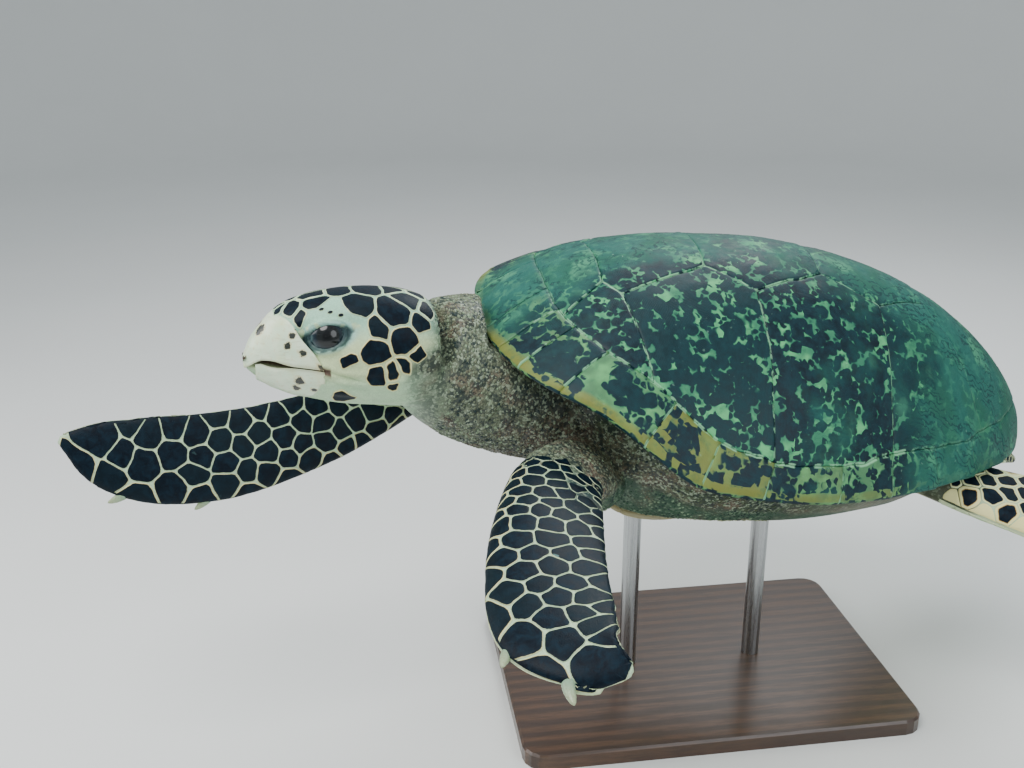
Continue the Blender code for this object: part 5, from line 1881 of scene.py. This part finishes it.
def plate_paint():
    """Dark plates in pale borders, for the head, fins and tail."""
    p = Paint("turtle_plates", roughness=0.5, specular=0.13)
    edge, tone = p.stored("edge"), p.stored("tone")
    spot, border, warm = p.stored("spot"), p.stored("border"), p.stored("warm")
    rag = p.math("MULTIPLY_ADD", p.noise(420.0, 3.0), 2.2, -1.1)
    rag = p.math("ADD", rag, p.math("MULTIPLY_ADD", p.noise(120.0, 2.0), 2.0, -1.0))
    lost = p.math("MULTIPLY", p.math("SUBTRACT", 1.0, spot), 0.011)
    start = p.math("ADD", p.math("MULTIPLY_ADD", rag, 0.00035, border), lost)
    inside = p.math("SUBTRACT", edge, start)
    core = p.step(inside, -0.00025, 0.00035)
    brown = p.step(inside, -0.0010, 0.0)
    pale = p.mix(p.step(p.noise(60.0, 3.0), 0.35, 0.7), rgb(176, 216, 186), rgb(212, 232, 196))
    pale = p.mix(p.math("MULTIPLY", warm, 0.75), pale, rgb(226, 220, 158))
    brown = p.math("MULTIPLY", brown, p.math("MULTIPLY_ADD", warm, 0.65, 0.15))
    rust = p.mix(brown, pale, rgb(150, 112, 48))
    seam = p.step(edge, 0.00055, 0.0)
    rust = p.mix(p.math("MULTIPLY", seam, 0.75), rust, rgb(86, 82, 58))
    streak = p.noise(95.0, 5.0, rough=0.65, bend=0.6)
    deep = p.mix(p.step(streak, 0.35, 0.72), rgb(3, 13, 24), rgb(9, 31, 44))
    deep = p.mix(p.step(tone, -0.2, 1.0, 0.0, 0.5), deep, rgb(12, 30, 36))
    nick = p.step(p.voronoi(210.0, output="Color"), 0.955, 0.985)
    deep = p.mix(p.math("MULTIPLY", nick, 0.5), deep, rgb(120, 165, 160))
    colour = p.mix(core, rust, deep)
    height = p.math("ADD", p.noise(700.0, 3.0), p.math("MULTIPLY", p.noise(140.0, 3.0), 1.2))
    rough = p.step(streak, 0.3, 0.75, 0.42, 0.56)
    return p.finish(colour, p.bump(height, 0.30, 0.0009), rough)


def grain_paint():
    """The neck's small grains: the skin's colour under each, darker or paler from grain to grain, painted
    shade at the foot.
    """
    p = Paint("turtle_grains", roughness=0.6, specular=0.3)
    ground, tone = p.stored("ground", vector=True), p.stored("tone")
    patch = p.math("MULTIPLY_ADD", p.noise(55.0, 4.0), 2.4, -1.2)
    value = p.math("ADD", p.math("MULTIPLY", tone, 0.8), patch)
    colour = p.mix(p.step(value, -0.1, -0.8), ground, rgb(32, 50, 50))
    colour = p.mix(p.step(p.noise(26.0, 3.0), 0.50, 0.68, 0.0, 0.45), colour, rgb(124, 98, 84))
    colour = p.mix(p.step(value, 0.2, 1.0, 0.0, 0.75), colour, rgb(140, 164, 132))
    # Painted shade: each grain darkens toward its foot, where it sinks into the skin.
    colour = p.mix(p.step(p.stored("rise"), 0.9, 0.0, 0.0, 0.5), colour, rgb(36, 48, 44))
    return p.finish(colour, p.bump(p.noise(1300.0, 2.0), 0.35, 0.0004))


def scute_paint():
    """Dark rounded blots, many run together, over green and golden horn, and a green film on the crest."""
    p = Paint("turtle_scutes", roughness=0.5, specular=0.22, coat=0.03, coat_roughness=0.4)
    edge, tone, haze, gold, clear = (p.stored(word) for word in ("edge", "tone", "haze", "gold", "clear"))
    field = p.noise(15.0, 2.5, p.scaled(p.place, (1.0, 1.35, 0.85)))
    torn = p.step(p.noise(46.0, 3.0), 0.36, 0.58)
    pale = p.math("MULTIPLY", p.step(edge, 0.010, 0.002, 0.0, 0.22), torn)
    pale = p.math("MULTIPLY_ADD", clear, 0.62, pale)
    limit = p.math("SUBTRACT", p.math("MULTIPLY_ADD", field, 2.0, -0.17), pale)
    dark, halo = 0.0, 0.0
    stray = p.node("ShaderNodeTexNoise", Vector=p.place, Scale=55.0).outputs["Color"]
    here = p.node("ShaderNodeVectorMath", {"operation": "ADD"})
    p.put(here.inputs[0], p.place)
    p.put(here.inputs[1], p.scaled(stray, (0.009,) * 3))
    for scale, radius, shift in ((66.0, 0.66, 0.0), (118.0, 0.60, -0.10)):
        spot = p.node("ShaderNodeTexVoronoi", Vector=here.outputs[0], Scale=scale)
        open_to = p.step(p.math("SUBTRACT", p.math("ADD", limit, shift), spot.outputs["Color"]), 0.0, 0.05)
        near = p.math("MULTIPLY", p.step(spot.outputs["Distance"], radius + 0.04, radius - 0.04), open_to)
        wide = p.math("MULTIPLY", p.step(spot.outputs["Distance"], radius + 0.16, radius), open_to)
        dark, halo = p.math("MAXIMUM", near, dark), p.math("MAXIMUM", wide, halo)
    grime = p.noise(85.0, 5.0, rough=0.65)
    light = p.mix(p.step(p.noise(34.0, 2.0), 0.40, 0.66), rgb(42, 122, 92), rgb(84, 178, 118))
    light = p.mix(p.math("MULTIPLY", gold, 0.9), light, rgb(118, 116, 44))
    light = p.mix(p.step(grime, 0.46, 0.8, 0.0, 0.6), light, rgb(40, 92, 70))
    light = p.mix(p.math("MULTIPLY", halo, 0.55), light, rgb(34, 92, 74))
    deep = p.mix(p.step(grime, 0.3, 0.7), rgb(3, 24, 34), rgb(10, 46, 54))
    deep = p.mix(p.step(tone, -0.4, 1.0, 0.0, 0.35), deep, rgb(16, 56, 58))
    colour = p.mix(dark, light, deep)
    wisp = p.step(p.noise(70.0, 3.0), 0.46, 0.56)
    seam = p.math("MULTIPLY", p.step(edge, 0.0019, 0.0009), wisp)
    colour = p.mix(p.math("MULTIPLY", seam, 0.75), colour, rgb(140, 200, 156))
    film = p.mix(p.noise(140.0, 5.0, rough=0.7), rgb(16, 70, 68), rgb(52, 122, 106))
    film = p.mix(p.step(p.noise(16.0, 3.0), 0.4, 0.65), film, rgb(36, 96, 78))
    film = p.mix(p.step(p.noise(21.0, 4.0), 0.56, 0.68, 0.0, 0.6), film, rgb(84, 162, 122))
    cover = p.math("MULTIPLY_ADD", p.noise(24.0, 4.0), 1.1, -0.55)
    cover = p.step(p.math("ADD", haze, cover), 0.10, 0.95, 0.0, 0.84)
    colour = p.mix(cover, colour, film)
    rings = {"wave_type": "RINGS", "bands_direction": "Z"}
    flow = p.node("ShaderNodeTexWave", rings, Vector=p.place, Scale=44.0, Distortion=13.0, Detail=4.0)
    p.put(flow.inputs["Detail Scale"], 1.4)
    line = p.math("MULTIPLY", p.step(flow.outputs["Fac"], 0.70, 0.95), p.step(haze, 0.2, 0.7))
    line = p.math("MULTIPLY", line, p.step(p.noise(20.0, 2.0), 0.40, 0.58))
    colour = p.mix(p.math("MULTIPLY", line, 0.75), colour, rgb(10, 46, 52))
    speck = p.step(p.voronoi(420.0, output="Color"), 0.94, 0.99)
    colour = p.mix(p.math("MULTIPLY", speck, 0.3), colour, rgb(140, 186, 160))
    ripple = p.math("SINE", p.math("MULTIPLY", edge, 3300.0))
    height = p.math("ADD", p.math("MULTIPLY", ripple, 0.12), p.math("MULTIPLY", grime, 0.9))
    height = p.math("ADD", height, p.math("MULTIPLY", line, -0.5))
    height = p.math("ADD", height, p.math("MULTIPLY", p.noise(800.0, 2.0), 0.35))
    rough = p.math("MULTIPLY_ADD", cover, 0.20, p.step(grime, 0.3, 0.7, 0.44, 0.58))
    return p.finish(colour, p.bump(height, 0.35, 0.0009), rough)


def plastron_paint():
    """Cream belly plates with a few brown stains and darker seams."""
    p = Paint("turtle_plastron", roughness=0.45, coat=0.1)
    edge = p.stored("edge")
    cloud = p.noise(22.0, 4.0)
    colour = p.mix(p.step(cloud, 0.35, 0.7), rgb(214, 200, 140), rgb(228, 222, 184))
    stain = p.step(p.math("ADD", p.noise(60.0, 4.0), p.math("MULTIPLY", cloud, 0.5)), 0.80, 0.95)
    colour = p.mix(p.math("MULTIPLY", stain, 0.5), colour, rgb(120, 110, 74))
    colour = p.mix(p.step(edge, 0.0016, 0.0, 0.0, 0.7), colour, rgb(92, 84, 58))
    height = p.math("ADD", p.noise(300.0, 3.0), p.math("SINE", p.math("MULTIPLY", edge, 2200.0)))
    return p.finish(colour, p.bump(height, 0.2, 0.0008))


def beak_paint():
    """Pale green horn with ragged dark marks and a brown lip."""
    p = Paint("turtle_beak", roughness=0.34, specular=0.5, coat=0.22, coat_roughness=0.2)
    mark, lip = p.stored("mark"), p.stored("lip")
    rag = p.math("MULTIPLY_ADD", p.noise(190.0, 4.0, rough=0.6), 1.3, -0.65)
    cloud = p.noise(42.0, 4.0)
    colour = p.mix(p.step(cloud, 0.35, 0.7), rgb(208, 232, 200), rgb(226, 240, 212))
    colour = p.mix(p.step(p.noise(24.0, 2.0), 0.50, 0.72, 0.0, 0.5), colour, rgb(214, 214, 142))
    warm = p.step(p.math("ADD", mark, rag), 0.05, 0.35, 0.0, 0.4)
    colour = p.mix(warm, colour, rgb(206, 168, 84))
    colour = p.mix(p.step(p.math("ADD", mark, rag), 0.32, 0.46), colour, rgb(36, 42, 38))
    grain = p.noise(1.0, 4.0, p.scaled(p.place, (160.0, 60.0, 420.0)), 0.6)
    colour = p.mix(p.step(grain, 0.52, 0.72, 0.0, 0.22), colour, rgb(150, 140, 96))
    colour = p.mix(p.step(lip, 0.03, 0.0, 0.0, 0.45), colour, rgb(128, 116, 84))
    return p.finish(colour, p.bump(grain, 0.25, 0.0006), p.step(cloud, 0.3, 0.7, 0.28, 0.42))


def eye_paint():
    """A near-black eye: a pupil hardly darker than the brown iris, and a dark ring of white round it."""
    p = Paint("turtle_eye", roughness=0.14, specular=0.35, coat=0.35, coat_roughness=0.04)
    tilt = p.stored("tilt")
    spokes = p.noise(1.0, 4.0, p.scaled(p.stored("spoke", vector=True), (7.0, 7.0, 3.0)), 0.6)
    iris = p.mix(p.step(spokes, 0.35, 0.7), rgb(6, 10, 14), rgb(28, 32, 32))
    colour = p.mix(p.step(tilt, 0.20, 0.25), rgb(3, 5, 8), iris)
    colour = p.mix(p.step(tilt, 0.46, 0.60), colour, rgb(18, 34, 44))
    rim = p.math("MULTIPLY", p.step(tilt, 0.62, 0.85), p.step(p.noise(240.0, 3.0), 0.35, 0.65))
    colour = p.mix(p.math("MULTIPLY", rim, 0.55), colour, rgb(92, 120, 122))
    return p.finish(colour)


def claw_paint():
    """Pale horn, a little warmer toward the tip."""
    p = Paint("turtle_claws", roughness=0.35, coat=0.15)
    share = p.stored("share")
    grain = p.noise(500.0, 3.0)
    colour = p.mix(p.step(share, 0.1, 0.95), rgb(128, 160, 132), rgb(158, 172, 136))
    colour = p.mix(p.step(grain, 0.4, 0.7, 0.0, 0.35), colour, rgb(120, 118, 84))
    return p.finish(colour, p.bump(grain, 0.3, 0.0005))


def wood_paint():
    """Dark stained wood with a satin lacquer."""
    p = Paint("stand_walnut", roughness=0.35, coat=0.35, coat_roughness=0.18)
    run = p.scaled(p.place, (16.0, 1.6, 16.0))
    bands = {"wave_type": "BANDS", "bands_direction": "X"}
    rings = p.node("ShaderNodeTexWave", bands, Vector=run, Scale=0.9, Distortion=5.0, Detail=3.0)
    grain = p.noise(14.0, 5.0, run, 0.6)
    pores = p.noise(60.0, 3.0, p.scaled(p.place, (22.0, 1.0, 22.0)), 0.6)
    colour = p.mix(p.step(rings.outputs["Fac"], 0.1, 0.9), rgb(58, 38, 26), rgb(84, 57, 38))
    colour = p.mix(p.step(grain, 0.35, 0.7, 0.0, 0.6), colour, rgb(44, 28, 19))
    colour = p.mix(p.step(pores, 0.60, 0.68, 0.0, 0.6), colour, rgb(26, 17, 12))
    return p.finish(colour, p.bump(pores, 0.12, 0.0004), p.step(grain, 0.3, 0.7, 0.28, 0.40))


def steel_paint():
    """Steel brushed round the rods."""
    p = Paint("stand_steel", roughness=0.28, metallic=1.0)
    brush = p.noise(1.0, 4.0, p.scaled(p.place, (260.0, 260.0, 9.0)), 0.6)
    colour = p.mix(brush, rgb(150, 152, 154), rgb(196, 198, 200))
    return p.finish(colour, p.bump(brush, 0.08, 0.0002), p.step(brush, 0.3, 0.7, 0.22, 0.36))


def floor_paint():
    p = Paint("floor_pale", roughness=0.6, specular=0.25)
    cloud = p.noise(2.0, 4.0)
    colour = p.mix(cloud, rgb(222, 224, 223), rgb(228, 230, 229))
    return p.finish(colour, p.bump(p.noise(180.0, 3.0), 0.04, 0.0006))


# ---- stage: floor, light and camera ----
FLOOR_REACH, FLOOR_AROUND, COVE, WALL = 5.0, 96, 1.6, 1.0
CAMERA_OFFSET = (1.4409, -0.5511, 0.575)
CAMERA_LOOK = (-0.9294, 0.1387, -0.342)
LENS = 40.37
# The lamps: name, offset from the turtle, width, power and colour.
LIGHTS = (
    ("key", (0.9, -1.3, 2.2), 1.6, 62.0, (1.0, 0.985, 0.96)),
    ("fill", (2.0, 1.0, 1.1), 1.8, 26.0, (0.93, 0.97, 1.0)),
    ("back", (-1.5, 0.8, 1.9), 1.4, 40.0, (0.95, 0.98, 1.0)),
    ("front", (-0.2, -2.2, 0.9), 1.4, 18.0, (1.0, 0.99, 0.97)),
)


def build_stage():
    """A round floor that curves up into a wall all round, a soft sky over it, the lamps and the camera."""
    bend = np.linspace(0, math.pi / 2, 14)
    out = [0.02, 1.5, 3.2, *(FLOOR_REACH + COVE * np.sin(bend)), FLOOR_REACH + COVE]
    rise = [0, 0, 0, *(COVE * (1 - np.cos(bend))), COVE + WALL]
    around = circle(FLOOR_AROUND)
    rings = [np.column_stack([r * around, np.full(FLOOR_AROUND, z)]) for r, z in zip(out, rise)]
    faces = [tuple(range(FLOOR_AROUND))]
    for k in range(0, (len(rings) - 1) * FLOOR_AROUND, FLOOR_AROUND):
        low = [k + i for i in range(FLOOR_AROUND)]
        after = low[1:] + low[:1]
        faces += [(a, a + FLOOR_AROUND, b + FLOOR_AROUND, b) for a, b in zip(low, after)]
    floor = piece("floor", np.vstack(rings), faces)
    floor.data.materials.append(floor_paint())
    world = bpy.data.worlds.new("studio")
    world.use_nodes = True
    sky = world.node_tree.nodes["Background"]
    sky.inputs["Color"].default_value = (*rgb(206, 214, 218), 1.0)
    sky.inputs["Strength"].default_value = 0.8
    bpy.context.scene.world = world
    for name, offset, size, power, colour in LIGHTS:
        light = bpy.data.lights.new(name, "AREA")
        light.energy, light.size, light.color, light.shape = power, size, colour, "DISK"
        lamp = bpy.data.objects.new(name, light)
        lamp.location = Vector(TURTLE_AT) + Vector(offset)
        lamp.rotation_euler = (-Vector(offset)).to_track_quat("-Z", "Y").to_euler()
        bpy.context.scene.collection.objects.link(lamp)
    camera = bpy.data.objects.new("camera", bpy.data.cameras.new("camera"))
    camera.data.sensor_width, camera.data.lens = 36.0, LENS
    camera.location = Vector(TURTLE_AT) + Vector(CAMERA_OFFSET)
    camera.rotation_euler = Vector(CAMERA_LOOK).to_track_quat("-Z", "Y").to_euler()
    bpy.context.scene.collection.objects.link(camera)
    bpy.context.scene.camera = camera


# ---- the model, put together ----
FLESH = (
    "head", "neck", "trunk", "tail", "flipper_front_left", "flipper_front_right", "flipper_hind_left",
    "flipper_hind_right",
)


def show(obj, paint, slot, *nodes):
    obj.data.materials.clear()
    obj.data.materials.append(paint)
    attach(obj, "root")
    if nodes:
        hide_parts(*nodes)


def build_turtle():
    skin = skin_piece()
    colour_skin(skin)
    chart = skin_chart(read_mesh(skin.data)[0])
    bake_map(skin, chart)
    show(skin, skin_paint(), "skin", *FLESH)
    mesh = skin.data
    tree = BVHTree.FromPolygons([v.co for v in mesh.vertices], [tuple(f.vertices) for f in mesh.polygons])
    plates = plate_paint()
    show(head_scales(tree), plates, "skin")
    arm, leg = (ARM_PLATE, ARM_UNDER_PLATE), (LEG_PLATE, LEG_PLATE)
    for word in ("left", "right"):
        front, hind = LIMBS[f"front_{word}"], LIMBS[f"hind_{word}"]
        on_arm = fin_scales(f"scales_arm_{word}", tree, front, arm, 0.17, 0.0007, soft=ARM_SOFT)
        show(on_arm, plates, "skin")
        on_leg = fin_scales(f"scales_leg_{word}", tree, hind, leg, 0.09, 0.0027, 0.8)
        show(on_leg, plates, "skin")
    show(tail_scales(tree), plates, "skin")
    beads = grain_paint()
    for word, side in (("left", 1), ("right", -1)):
        show(grains(f"grains_{word}", skin, chart, side), beads, "skin")
    horn = scute_paint()
    for node, obj in build_shell().items():
        belly = node == "plastron"
        show(obj, plastron_paint() if belly else horn, "plastron" if belly else "scute", node)
    horny = beak_paint()
    show(beak("horn_upper", True), horny, "beak", "beak_upper")
    show(beak("horn_lower", False), horny, "beak", "beak_lower")
    glossy = eye_paint()
    for word, side in (("left", 1), ("right", -1)):
        show(eye(f"eyeball_{word}", side), glossy, "eye", f"eye_{word}")
    nail = claw_paint()
    for word in ("left", "right"):
        for k, at in enumerate(ARM_CLAWS, 1):
            made = claw(f"nail_front_{word}_{k}", LIMBS[f"front_{word}"], at)
            show(made, nail, "claw", f"claw_front_{word}_{k}")
        made = claw(f"nail_hind_{word}", LIMBS[f"hind_{word}"], LEG_CLAW)
        show(made, nail, "claw", f"claw_hind_{word}")


def finish_stand():
    wood, steel = wood_paint(), steel_paint()
    for name, paint in (("stand_base", wood), ("stand_rod_front", steel), ("stand_rod_rear", steel)):
        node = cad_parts[name]
        node.data.materials.clear()
        node.data.materials.append(paint)


build_stage()
build_turtle()
finish_stand()
